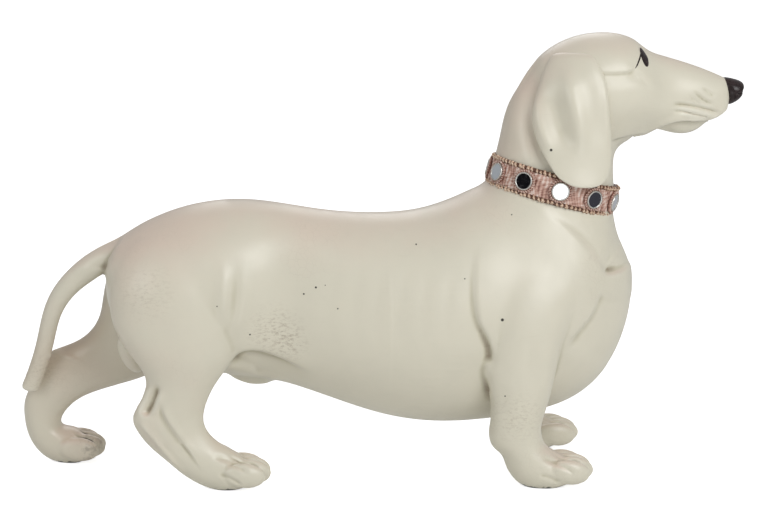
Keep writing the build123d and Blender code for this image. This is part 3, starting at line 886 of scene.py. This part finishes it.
def prism(outline, axis, low, high):
    """Closed block whose outline is drawn square to an axis, between two places on the axis."""
    number = "XYZ".index(axis)
    away = [0.0, 0.0, 0.0]
    away[number] = high - low
    corners = [Vector((*corner[:number], low, *corner[number:])) * MM for corner in outline]
    build = bmesh.new()
    face = build.faces.new([build.verts.new(corner) for corner in corners])
    grown = bmesh.ops.extrude_face_region(build, geom=[face])["geom"]
    moved = [item for item in grown if isinstance(item, bmesh.types.BMVert)]
    bmesh.ops.translate(build, verts=moved, vec=Vector(away) * MM)
    bmesh.ops.recalc_face_normals(build, faces=build.faces)
    return finish_mesh(build, "cutter", None)


def carved(mesh, cutter, operation):
    """The mesh with a cutter taken from it, or only the part inside the cutter."""
    draft = bpy.data.objects.new("draft", mesh)
    bpy.context.scene.collection.objects.link(draft)
    boolean = draft.modifiers.new("carve", "BOOLEAN")
    boolean.operation = operation
    boolean.object = cutter
    boolean.solver = "MANIFOLD"
    made = bpy.data.meshes.new_from_object(draft.evaluated_get(bpy.context.evaluated_depsgraph_get()))
    bpy.data.objects.remove(draft)
    # a rim point that joins only two edges would be folded into a flat fin when the faces become triangles
    build = bmesh.new()
    build.from_mesh(made)
    bmesh.ops.dissolve_verts(build, verts=[vert for vert in build.verts if len(vert.link_edges) == 2])
    build.to_mesh(made)
    build.free()
    return made


FRONT_CUT = [(-70, -5), (-5, -5), (-5, 28), (-30, 28), (-30, 100), (-44, 110), (-70, 110)]
HIND_RIGHT_CUT = [(-60, -5), (-2, -5), (-2, 50), (-25, 80), (-25, 135), (-60, 135)]
HIND_LEFT_PLAN = [(-90, 60), (-90, 22), (-150, 22), (-157, 6), (-226, 6), (-226, 60)]
HIND_LEFT_SIDE = [(-80, -5), (-230, -5), (-230, 79), (-198, 79), (-188, 92), (-167.5, 112), (-167.5, 128),
                  (-80, 128)]
# the tail's tip hangs close beside the left hock, so its room is taken out of that leg's cutter
TIP_PLAN = [(-198, 0), (-198, 21.2), (-204, 21.2), (-208, 21.8), (-212, 22.4), (-232, 22.6), (-232, 0)]
TIP_SIDE = [(-197, 121), (-197, 67.5), (-204, 57), (-208, 49), (-212, 47.5), (-234, 47.5), (-234, 121)]
TAIL_CUT = [(-162.5, 152), (-166.5, 122), (-169, 108), (-196, 74.5), (-206, 44), (-240, 44), (-240, 152)]
cutters = {
    "front_leg_right": prism(FRONT_CUT, "X", 45, 128),
    "front_leg_left": prism([(-y, z) for y, z in FRONT_CUT], "X", 45 + STEP_FORWARD, 128 + STEP_FORWARD),
    "hind_leg_right": prism(HIND_RIGHT_CUT, "X", -172, -64),
    "hind_leg_left": prism(HIND_LEFT_PLAN, "Z", -6, 130),
    "tail": prism(TAIL_CUT, "Y", -30, 60),
}
tip_room = prism(TIP_PLAN, "Z", 30, 120)
for cutter, block, operation in ((tip_room, prism(TIP_SIDE, "Y", -5, 30), "INTERSECT"),
                                 (cutters["hind_leg_left"], prism(HIND_LEFT_SIDE, "Y", -10, 70), "INTERSECT"),
                                 (cutters["hind_leg_left"], tip_room, "DIFFERENCE")):
    cutter.data = carved(cutter.data, block, operation)
    bpy.data.objects.remove(block)

for clay in (body, head):
    clay.store_hollows()
    layer = clay.mesh.attributes.new("skin_normal", "FLOAT_VECTOR", "POINT")
    layer.data.foreach_set("vector", clay.normals.ravel().astype(np.float32))

skin_tree = KDTree(len(body.points))
for number, point in enumerate(body.points):
    skin_tree.insert(point * MM, number)
skin_tree.balance()

for mesh, place, away in ((body_mesh, COLLAR_CENTRE, NECK_AXIS),
                          (body_mesh, (0.0, 0.0, 0.0), (0.0, 0.0, -1.0)),
                          (head_mesh, COLLAR_CENTRE, -NECK_AXIS)):
    build = trimmed(mesh, place, away)
    build.to_mesh(mesh)
    build.free()
remaining = body_mesh
for name, cutter in cutters.items():
    casting = carved(remaining, cutter, "INTERSECT")
    remaining = carved(remaining, cutter, "DIFFERENCE")
    bpy.data.objects.remove(cutter)
    place_casting(casting, f"cast_{name}", body_glaze, name)
place_casting(remaining, "cast_torso", body_glaze, "torso_casting")
head_shape = bmesh.new()
head_shape.from_mesh(head_mesh)
head_tree = BVHTree.FromBMesh(head_shape)
head_shape.free()
place_casting(head_mesh, "cast_head", head_glaze, "head_casting")

# ---- Ears ----------------------------------------------------------------------------------------
# Each ear is a flap of clay laid on the head, crisp along its upper edge, and hanging free of the
# neck below, with its tip over the collar. Two soft folds run down it with a trough between.

EAR = [
    ((101.5, 12.5, 254.2), (119.5, 21.0, 254.2), 3.0),
    ((97.5, 11.5, 251.3), (122.8, 25.0, 250.8), 5.2),
    ((93.5, 13.5, 244.0), (125.5, 29.0, 243.5), 6.6),
    ((90.5, 18.0, 236.0), (127.3, 31.0, 236.0), 7.4),
    ((87, 21.0, 227.0), (128.5, 32.5, 227.0), 7.6),
    ((84.5, 23.5, 217.0), (129.4, 33.0, 217.0), 7.4),
    ((86, 27.0, 207.0), (130.4, 33.5, 207.0), 6.6),
    ((89.5, 31.0, 198.0), (130.6, 34.5, 198.0), 5.4),
    ((93.5, 35.0, 190.0), (130.2, 35.5, 190.0), 4.0),
    ((97.5, 38.2, 183.5), (128.6, 36.8, 183.5), 3.0),
    ((103.5, 39.8, 179.3), (125.6, 38.2, 179.3), 2.4),
    ((109.5, 40.4, 176.8), (120.5, 39.6, 176.8), 1.7),
]
EAR_VOXEL = 0.0006
EAR_PINHOLES = ((94.8, 198.8, 0.9),)

for name, side in (("right", -1), ("left", 1)):
    ear_cage = bmesh.new()
    rings = []
    for rear, front, half_thickness in EAR:
        rear = Vector((rear[0], rear[1] * side, rear[2])) * MM
        front = Vector((front[0], front[1] * side, front[2])) * MM
        rings.append(oval_ring(ear_cage, front, rear, VENTRAL, half_thickness * MM))
    join_rings(ear_cage, rings)
    ear = Clay(voxel_skin(ear_cage, "ear_draft", EAR_VOXEL))
    ear.smooth(3, keep=True)
    ear.score([(95, 240), (95.5, 228), (98, 214), (102.5, 203), (106, 195)], 6.0, 3.0, side, ends=(0.4, 0.35),
              facing=0.2)
    ear.score([(105, 250), (105.5, 238), (107.5, 226), (111, 212), (112.5, 200), (111, 188)], 5.0, -2.0, side,
              ends=(0.3, 0.4), facing=0.2)
    ear.score([(116.5, 244), (118, 228), (120.5, 210), (120, 196)], 5.0, 0.8, side, ends=(0.3, 0.4),
              facing=0.2)
    ear.score([(125.5, 246), (127, 230), (127.5, 212), (127, 196)], 2.2, -0.6, side, ends=(0.2, 0.3),
              facing=0.1)
    ear.score([(89, 232), (87.5, 218), (91, 205), (97, 194)], 2.4, -0.7, side, ends=(0.3, 0.3), facing=0.1)
    ear.settle()
    ear.smooth(2, keep=True)
    ear.store_hollows()
    piece = bpy.data.objects.new(f"{name}_ear", ear.mesh)
    bpy.context.scene.collection.objects.link(piece)
    ear.mesh.materials.clear()
    pinholes = EAR_PINHOLES if name == "right" else ()
    ear.mesh.materials.append(glaze_material(f"cream_glaze_{name}_ear", pinholes))
    ear.mesh.shade_smooth()
    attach(piece, "root")
    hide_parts(f"ear_{name}")

# ---- Collar band ---------------------------------------------------------------------------------
# The collar is a strip of clay pressed with a hatched tool, laid round the neck over the joint, and
# finished in copper-pink lustre rubbed back to show dark in its lines.

NECK_LENGTH_RADIUS = 0.0365
NECK_WIDTH_RADIUS = 0.0320
BAND_THICKNESS = 0.0024
BAND_HEIGHT = 0.0130
BAND_SUNK = 0.0006           # how far the band is bedded in the neck
HATCH_DEPTH = 0.0007
neck_frame = Matrix.Translation(COLLAR_CENTRE) @ Matrix.Rotation(NECK_LEAN, 4, "Y")


def collar_place(angle, out, up):
    """Place on the neck: turned from straight ahead, out from its skin, up from the collar's middle."""
    return neck_frame @ Vector(((NECK_LENGTH_RADIUS + out) * math.cos(angle),
                                (NECK_WIDTH_RADIUS + out) * math.sin(angle), up))


def collar_facing(angle):
    """Direction that the collar faces at an angle."""
    flat = Vector((math.cos(angle) / (NECK_LENGTH_RADIUS + BAND_THICKNESS),
                   math.sin(angle) / (NECK_WIDTH_RADIUS + BAND_THICKNESS), 0.0))
    return (neck_frame.to_3x3() @ flat).normalized()


def shaded(material, dark, light, pale_and_highlight, relief, roughness, metallic):
    """Rubbed lustre: dark in the hollows, light on the face, and pale on the highest points, partly worn and
    partly a painted highlight.
    """
    tree = material.node_tree
    shader = tree.nodes["Principled BSDF"]
    place = node(tree, "ShaderNodeTexCoord").outputs["Object"]
    lined = node(tree, "ShaderNodeMapping", Vector=place, Rotation=(0.0, 0.9, 0.4),
                 Scale=(1.0, 1.0, 5.0)).outputs[0]
    grain = noise(tree, place, 700.0, 4.0, 0.7)
    brushed = noise(tree, lined, 300.0, 3.0, 0.65)
    height = node(tree, "ShaderNodeAttribute", attribute_name="proud").outputs["Fac"]
    uneven = reckon(tree, "MULTIPLY", reckon(tree, "SUBTRACT", brushed, 0.5), relief)
    face = reckon(tree, "ADD", height, uneven)
    colour = mixed(tree, spread(tree, face, 0.15, 0.55), dark, light)
    # painted highlight: the highest points turn pale, partly worn lustre
    colour = mixed(tree, spread(tree, face, 0.58, 0.88, 0.0, 0.9), colour, pale_and_highlight)
    colour = mixed(tree, spread(tree, grain, 0.60, 0.72, 0.0, 0.4), colour, dark)
    tree.links.new(colour, shader.inputs["Base Color"])
    tree.links.new(spread(tree, grain, 0.3, 0.7, roughness - 0.08, roughness + 0.12),
                   shader.inputs["Roughness"])
    shader.inputs["Metallic"].default_value = metallic
    bump = node(tree, "ShaderNodeBump", Height=face, Distance=0.0003, Strength=0.6)
    tree.links.new(bump.outputs[0], shader.inputs["Normal"])
    return material


copper_lustre = shaded(plain_material("copper_lustre", (0.5, 0.3, 0.24), 0.5)[0], (0.26, 0.12, 0.09),
                       (0.56, 0.345, 0.275), (0.80, 0.67, 0.60), 1.2, 0.45, 0.1)
gilt_lustre = shaded(plain_material("gilt_lustre", (0.6, 0.45, 0.3), 0.45)[0], (0.13, 0.055, 0.032),
                     (0.60, 0.40, 0.28), (0.84, 0.71, 0.56), 0.6, 0.4, 0.1)

BAND_SEGMENTS = 420
BAND_ROWS = 20


def store_proud(mesh, values):
    """Keep how proud each point stands, from 0 to 1, for the lustre to be rubbed by."""
    layer = mesh.attributes.new("proud", "FLOAT", "POINT")
    layer.data.foreach_set("value", np.asarray(values, dtype=np.float32))


band_build = bmesh.new()
outline = Matrix.Diagonal((NECK_LENGTH_RADIUS + BAND_THICKNESS, NECK_WIDTH_RADIUS + BAND_THICKNESS, 1.0, 1.0))
bmesh.ops.create_circle(band_build, segments=BAND_SEGMENTS, radius=1.0, matrix=outline)
bmesh.ops.translate(band_build, verts=band_build.verts, vec=(0.0, 0.0, -BAND_HEIGHT / 2))
rim = band_build.edges[:]
bottom = rim
for _ in range(BAND_ROWS):
    grown = bmesh.ops.extrude_edge_only(band_build, edges=rim)["geom"]
    lifted = [item for item in grown if isinstance(item, bmesh.types.BMVert)]
    rim = [item for item in grown if isinstance(item, bmesh.types.BMEdge)]
    bmesh.ops.translate(band_build, verts=lifted, vec=(0.0, 0.0, BAND_HEIGHT / BAND_ROWS))
inner_rims = []
for rim_edges in (rim, bottom):
    grown = bmesh.ops.extrude_edge_only(band_build, edges=rim_edges)["geom"]
    drawn_in = [item for item in grown if isinstance(item, bmesh.types.BMVert)]
    inner_rims.append([item for item in grown if isinstance(item, bmesh.types.BMEdge)])
    shrink = Matrix.Diagonal(((NECK_LENGTH_RADIUS - BAND_SUNK) / (NECK_LENGTH_RADIUS + BAND_THICKNESS),
                              (NECK_WIDTH_RADIUS - BAND_SUNK) / (NECK_WIDTH_RADIUS + BAND_THICKNESS),
                              1.0, 1.0))
    bmesh.ops.transform(band_build, matrix=shrink, verts=drawn_in)
bmesh.ops.bridge_loops(band_build, edges=inner_rims[0] + inner_rims[1])
bmesh.ops.recalc_face_normals(band_build, faces=band_build.faces)
dice = random.Random(7)
phases = [dice.uniform(0.0, math.tau) for _ in range(8)]
proud = []
for vert in band_build.verts:
    angle = math.atan2(vert.co.y / NECK_WIDTH_RADIUS, vert.co.x / NECK_LENGTH_RADIUS)
    up = vert.co.z / BAND_HEIGHT
    hatch = math.sin(angle * 113 + up * 9 + phases[0] + 3.4 * math.sin(angle * 9 + up * 4 + phases[1]))
    cross = math.sin(angle * 47 - up * 17 + phases[2] + 3.1 * math.sin(angle * 6 + up * 5 + phases[3]))
    broad = math.sin(angle * 19 + up * 6 + phases[4] + 2.6 * math.sin(angle * 3 + phases[5]))
    stand = 0.55 + 0.20 * hatch + 0.13 * cross + 0.16 * broad
    proud.append(stand)
    if math.hypot(vert.co.x / (NECK_LENGTH_RADIUS + 0.001), vert.co.y / (NECK_WIDTH_RADIUS + 0.001)) > 1.0:
        vert.co += Vector((math.cos(angle), math.sin(angle), 0.0)) * (stand - 0.7) * HATCH_DEPTH
bmesh.ops.transform(band_build, matrix=neck_frame, verts=band_build.verts)
band = finish_mesh(band_build, "hatched_band", copper_lustre)
store_proud(band.data, proud)
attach(band, "root")
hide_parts("collar_band")

# ---- Collar edgings ------------------------------------------------------------------------------
# Each edge of the band has a row of small clay beads, gilded, like the stitches of a whipped seam.
# They sit on a thin dark cord of clay.

EDGING_HEIGHT = 0.0026
BEAD_COUNT = 86
BEAD_SIZE = (0.00105, 0.0016, 0.0013)        # along the edge, across it and outward
CORD_RADIUS = 0.00125


def ring_of_beads(build, places, size, dice, proud):
    """Small uneven beads at (place, outward, along), on the mesh being built."""
    for place, outward, along in places:
        across = outward.cross(along).normalized()
        turn = Matrix((along, across, outward)).transposed().to_4x4()
        scale = [radius * dice.uniform(0.72, 1.2) for radius in size]
        tilt = Matrix.Rotation(math.radians(dice.uniform(12.0, 42.0)), 4, "Z")
        matrix = Matrix.Translation(place) @ turn @ tilt @ Matrix.Diagonal((*scale, 1.0))
        made = bmesh.ops.create_uvsphere(build, u_segments=8, v_segments=6, radius=1.0, matrix=matrix)
        for vert in made["verts"]:
            off = (vert.co - place).dot(outward) / scale[2]
            proud.append(0.50 + 0.50 * off + dice.uniform(-0.08, 0.08))


def spun_ring(radius, lift, thickness, segments, steps):
    """New mesh with a ring of round section, lying round the Z axis."""
    build = bmesh.new()
    stood = Matrix.Translation((radius, 0.0, lift)) @ Matrix.Rotation(math.pi / 2, 4, "X")
    bmesh.ops.create_circle(build, segments=segments, radius=thickness, matrix=stood)
    bmesh.ops.spin(build, geom=build.verts[:] + build.edges[:], cent=(0, 0, 0), axis=(0, 0, 1),
                   dvec=(0, 0, 0), angle=math.tau, steps=steps, use_merge=True)
    return build


for name, up in (("upper", 1), ("lower", -1)):
    height = up * (BAND_HEIGHT + EDGING_HEIGHT) / 2
    build = spun_ring(1.0, 0.0, CORD_RADIUS, 10, 120)
    for vert in build.verts:
        radius = math.hypot(vert.co.x, vert.co.y)
        angle = math.atan2(vert.co.y, vert.co.x)
        vert.co = collar_place(angle, BAND_THICKNESS * 0.55 + radius - 1.0, height + vert.co.z)
    bmesh.ops.recalc_face_normals(build, faces=build.faces)
    proud = [0.12] * len(build.verts)
    dice = random.Random(11 if name == "upper" else 12)
    places = []
    for number in range(BEAD_COUNT):
        angle = math.tau * (number + dice.uniform(-0.18, 0.18)) / BEAD_COUNT
        place = collar_place(angle, BAND_THICKNESS * 0.95, height + dice.uniform(-0.0002, 0.0002))
        before, after = (collar_place(angle + turn, BAND_THICKNESS, height) for turn in (-0.01, 0.01))
        places.append((place, collar_facing(angle), (after - before).normalized()))
    ring_of_beads(build, places, BEAD_SIZE, dice, proud)
    edging = finish_mesh(build, f"beaded_edging_{name}", gilt_lustre)
    store_proud(edging.data, proud)
    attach(edging, "root")
    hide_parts(f"collar_edging_{name}")

# ---- Mirrors in their bezels ---------------------------------------------------------------------
# Eleven round craft mirrors are glued into thin silvered cups, and each cup is set in a twisted rim
# of clay finished like the band.

MIRROR_COUNT = 11
MIRROR_START = math.radians(5.7)
RIM_RADIUS = 0.0061
RIM_THICKNESS = 0.00085
RIM_BEADS = 26
RIM_BEAD_SIZE = (0.0006, 0.00115, 0.0007)
CUP_PROFILE = [(0.00455, 0.0018), (0.0047, 0.0021), (0.0050, 0.0022), (0.0053, 0.0020), (0.0054, 0.0014),
               (0.0054, -0.0012), (0.0049, -0.0012), (0.0048, 0.0016)]

silver, silver_shader = plain_material("silvered_cup", (0.80, 0.79, 0.76), 0.3)
silver_shader.inputs["Metallic"].default_value = 0.9
tree = silver.node_tree
place = node(tree, "ShaderNodeTexCoord").outputs["Object"]
tarnish = noise(tree, place, 500.0, 4.0, 0.6)
tarnished = spread(tree, tarnish, 0.45, 0.75, 0.0, 0.7)
tree.links.new(mixed(tree, tarnished, (0.66, 0.65, 0.62), (0.33, 0.28, 0.23)),
               silver_shader.inputs["Base Color"])
tree.links.new(spread(tree, tarnish, 0.3, 0.7, 0.22, 0.5), silver_shader.inputs["Roughness"])

mirror_glass, mirror_shader = plain_material("mirror_glass", (0.88, 0.89, 0.90), 0.03)
mirror_shader.inputs["Metallic"].default_value = 1.0
tree = mirror_glass.node_tree
place = node(tree, "ShaderNodeTexCoord").outputs["Object"]
smear = noise(tree, place, 420.0, 3.0, 0.5)
tree.links.new(mixed(tree, spread(tree, smear, 0.5, 0.8, 0.0, 0.35), (0.88, 0.89, 0.90), (0.60, 0.62, 0.65)),
               mirror_shader.inputs["Base Color"])
tree.links.new(spread(tree, smear, 0.4, 0.8, 0.02, 0.12), mirror_shader.inputs["Roughness"])


def add_reflection_card(place, facing, glow):
    """Glowing card seen only in glossy reflections: a painted reflection for the mirror at this place, where
    it sends the camera's view.
    """
    view = (camera.location - place).normalized()
    sent = (facing * 2.0 * facing.dot(view) - view).normalized()
    card_build = bmesh.new()
    turn = sent.to_track_quat("Z", "Y").to_matrix().to_4x4()
    bmesh.ops.create_grid(card_build, x_segments=1, y_segments=1, size=CARD_SIZE,
                          matrix=Matrix.Translation(place + sent * CARD_DISTANCE) @ turn)
    card_material, card_shader = plain_material("studio_card", (0.0, 0.0, 0.0), 1.0)
    card_shader.inputs["Specular IOR Level"].default_value = 0.0
    card_shader.inputs["Emission Color"].default_value = (*glow, 1.0)
    card_shader.inputs["Emission Strength"].default_value = 1.0
    card = finish_mesh(card_build, "studio_card", card_material)
    card.visible_camera = False
    card.visible_diffuse = False
    card.visible_shadow = False
    card.visible_transmission = False


CARD_SIZE = 0.045
CARD_DISTANCE = 0.16
# painted reflections: the glow each listed mirror shows, grey, black or bright white
PAINTED_REFLECTIONS = {6: (0.34, 0.36, 0.38), 7: (0.006, 0.006, 0.007), 8: (1.6, 1.6, 1.6), 9: (0.045, 0.045, 0.055),
         10: (0.42, 0.43, 0.45)}

dice = random.Random(23)
for index in range(MIRROR_COUNT):
    angle = MIRROR_START + math.tau / MIRROR_COUNT * index
    foot = collar_place(angle, BAND_THICKNESS, 0.0)
    facing = collar_facing(angle)
    upward = (NECK_AXIS - facing * NECK_AXIS.dot(facing)).normalized()
    turn = Matrix((upward, facing.cross(upward), facing)).transposed().to_4x4()
    seat = Matrix.Translation(foot) @ turn

    cup = bmesh.new()
    profile = [cup.verts.new((radius, 0.0, height)) for radius, height in CUP_PROFILE]
    edges = [cup.edges.new(pair) for pair in zip(profile, profile[1:] + profile[:1])]
    bmesh.ops.spin(cup, geom=profile + edges, cent=(0, 0, 0), axis=(0, 0, 1), dvec=(0, 0, 0), angle=math.tau,
                   steps=48, use_merge=True)
    bmesh.ops.recalc_face_normals(cup, faces=cup.faces)
    bmesh.ops.transform(cup, matrix=seat, verts=cup.verts)
    cup_piece = finish_mesh(cup, f"silvered_cup_{index + 1:02d}", silver)
    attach(cup_piece, "root")
    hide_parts(f"bezel_{index + 1:02d}")

    rim = spun_ring(RIM_RADIUS, 0.0003, RIM_THICKNESS, 8, 36)
    bmesh.ops.recalc_face_normals(rim, faces=rim.faces)
    bmesh.ops.transform(rim, matrix=seat, verts=rim.verts)
    proud = [0.2] * len(rim.verts)
    places = []
    for number in range(RIM_BEADS):
        turned = math.tau * number / RIM_BEADS
        local = Vector((0.0062 * math.cos(turned), 0.0062 * math.sin(turned), 0.0008))
        along = Vector((-math.sin(turned), math.cos(turned), 0.0))
        places.append((seat @ local, facing, (seat.to_3x3() @ along).normalized()))
    ring_of_beads(rim, places, RIM_BEAD_SIZE, dice, proud)
    rim_piece = finish_mesh(rim, f"mirror_rim_{index + 1:02d}", copper_lustre)
    store_proud(rim_piece.data, proud)
    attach(rim_piece, "root")

    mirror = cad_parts[f"mirror_{index + 1:02d}"]
    mirror.material_slots[0].material = mirror_glass
    # painted reflection in this mirror, where it is listed
    if index in PAINTED_REFLECTIONS:
        add_reflection_card(foot, facing, PAINTED_REFLECTIONS[index])

# ---- Nose ----------------------------------------------------------------------------------------
# A blunt nose of clay with two comma nostrils, glazed in gloss brown-black.

NOSE = [
    ((202.5, 238.0), (206.8, 220.8), 0, 6.0),
    ((206.5, 237.6), (209.2, 221.2), 0, 8.4),
    ((211.8, 236.6), (211.6, 222.2), 0, 8.8),
    ((216.2, 235.0), (214.0, 223.8), 0, 7.8),
    ((217.4, 232.8), (215.8, 226.2), 0, 5.6),
]
NOSE_VOXEL = 0.00045

nose_cage = bmesh.new()
skin_form(nose_cage, NOSE)
nose = Clay(voxel_skin(nose_cage, "nose_draft", NOSE_VOXEL))
nose.smooth(3, keep=True)
nose.score([(219, 0, 232), (216, 0, 226), (211, 0, 220)], 0.9, 0.7, ends=(0.2, 0.1))
for side in (1, -1):
    nostril = [(217, 3.2 * side, 229.5), (215.5, 5.2 * side, 230.0), (213, 7.4 * side, 228.0),
               (210.5, 8.6 * side, 226.5)]
    nose.score(nostril, 1.15, 1.6, ends=(0.25, 0.35))
nose.settle()
nose_piece = bpy.data.objects.new("leathery_nose", nose.mesh)
bpy.context.scene.collection.objects.link(nose_piece)
black_glaze, black_shader = plain_material("brown_black_glaze", (0.022, 0.014, 0.013), 0.2)
black_shader.inputs["Specular IOR Level"].default_value = 0.3
tree = black_glaze.node_tree
place = node(tree, "ShaderNodeTexCoord").outputs["Object"]
pebble = node(tree, "ShaderNodeTexVoronoi", Vector=place, Scale=900.0).outputs["Distance"]
tint = noise(tree, place, 300.0)
tree.links.new(mixed(tree, spread(tree, tint, 0.4, 0.7), (0.020, 0.013, 0.013), (0.036, 0.022, 0.022)),
               black_shader.inputs["Base Color"])
tree.links.new(spread(tree, tint, 0.3, 0.7, 0.16, 0.34), black_shader.inputs["Roughness"])
bump = node(tree, "ShaderNodeBump", Height=pebble, Distance=0.0002, Strength=0.25)
tree.links.new(bump.outputs[0], black_shader.inputs["Normal"])
nose.mesh.materials.clear()
nose.mesh.materials.append(black_glaze)
nose.mesh.shade_smooth()
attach(nose_piece, "root")
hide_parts("nose")

# ---- Eyes ----------------------------------------------------------------------------------------
# Each eye is two strokes of black enamel that meet at the brow: a fat one with a pointed end, and a
# thin one behind it for the lid. They stand a little proud of the glaze.

# each stroke's two ends and its half width
STROKES = (((149.9, 11.8, 254.8), (152.3, 20.6, 243.6), 2.9),
           ((150.2, 12.4, 254.0), (144.8, 25.0, 243.8), 0.5))
STROKE_HEIGHT = 0.0005

for name, side in (("right", -1), ("left", 1)):
    eye = bmesh.new()
    for start, stop, half_width in STROKES:
        start, stop = (head_tree.find_nearest(Vector((x, y * side, z)) * MM)[0] for x, y, z in (start, stop))
        middle, facing, _, _ = head_tree.find_nearest((start + stop) / 2)
        along = (stop - start).normalized()
        across = facing.cross(along).normalized()
        turn = Matrix((along, across, along.cross(across))).transposed().to_4x4()
        size = Matrix.Diagonal(((stop - start).length / 2, half_width * MM, STROKE_HEIGHT, 1.0))
        made = bmesh.ops.create_uvsphere(eye, u_segments=20, v_segments=14, radius=1.0,
                                         matrix=Matrix.Translation(middle) @ turn @ size)
        for vert in made["verts"]:
            height = (vert.co - middle).dot(facing)
            flat = vert.co - facing * height
            ground, out, _, _ = head_tree.find_nearest(flat)
            vert.co = ground + out * height
    eye_piece = finish_mesh(eye, f"enamel_eye_{name}", black_glaze)
    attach(eye_piece, "root")
    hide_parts(f"eye_{name}")
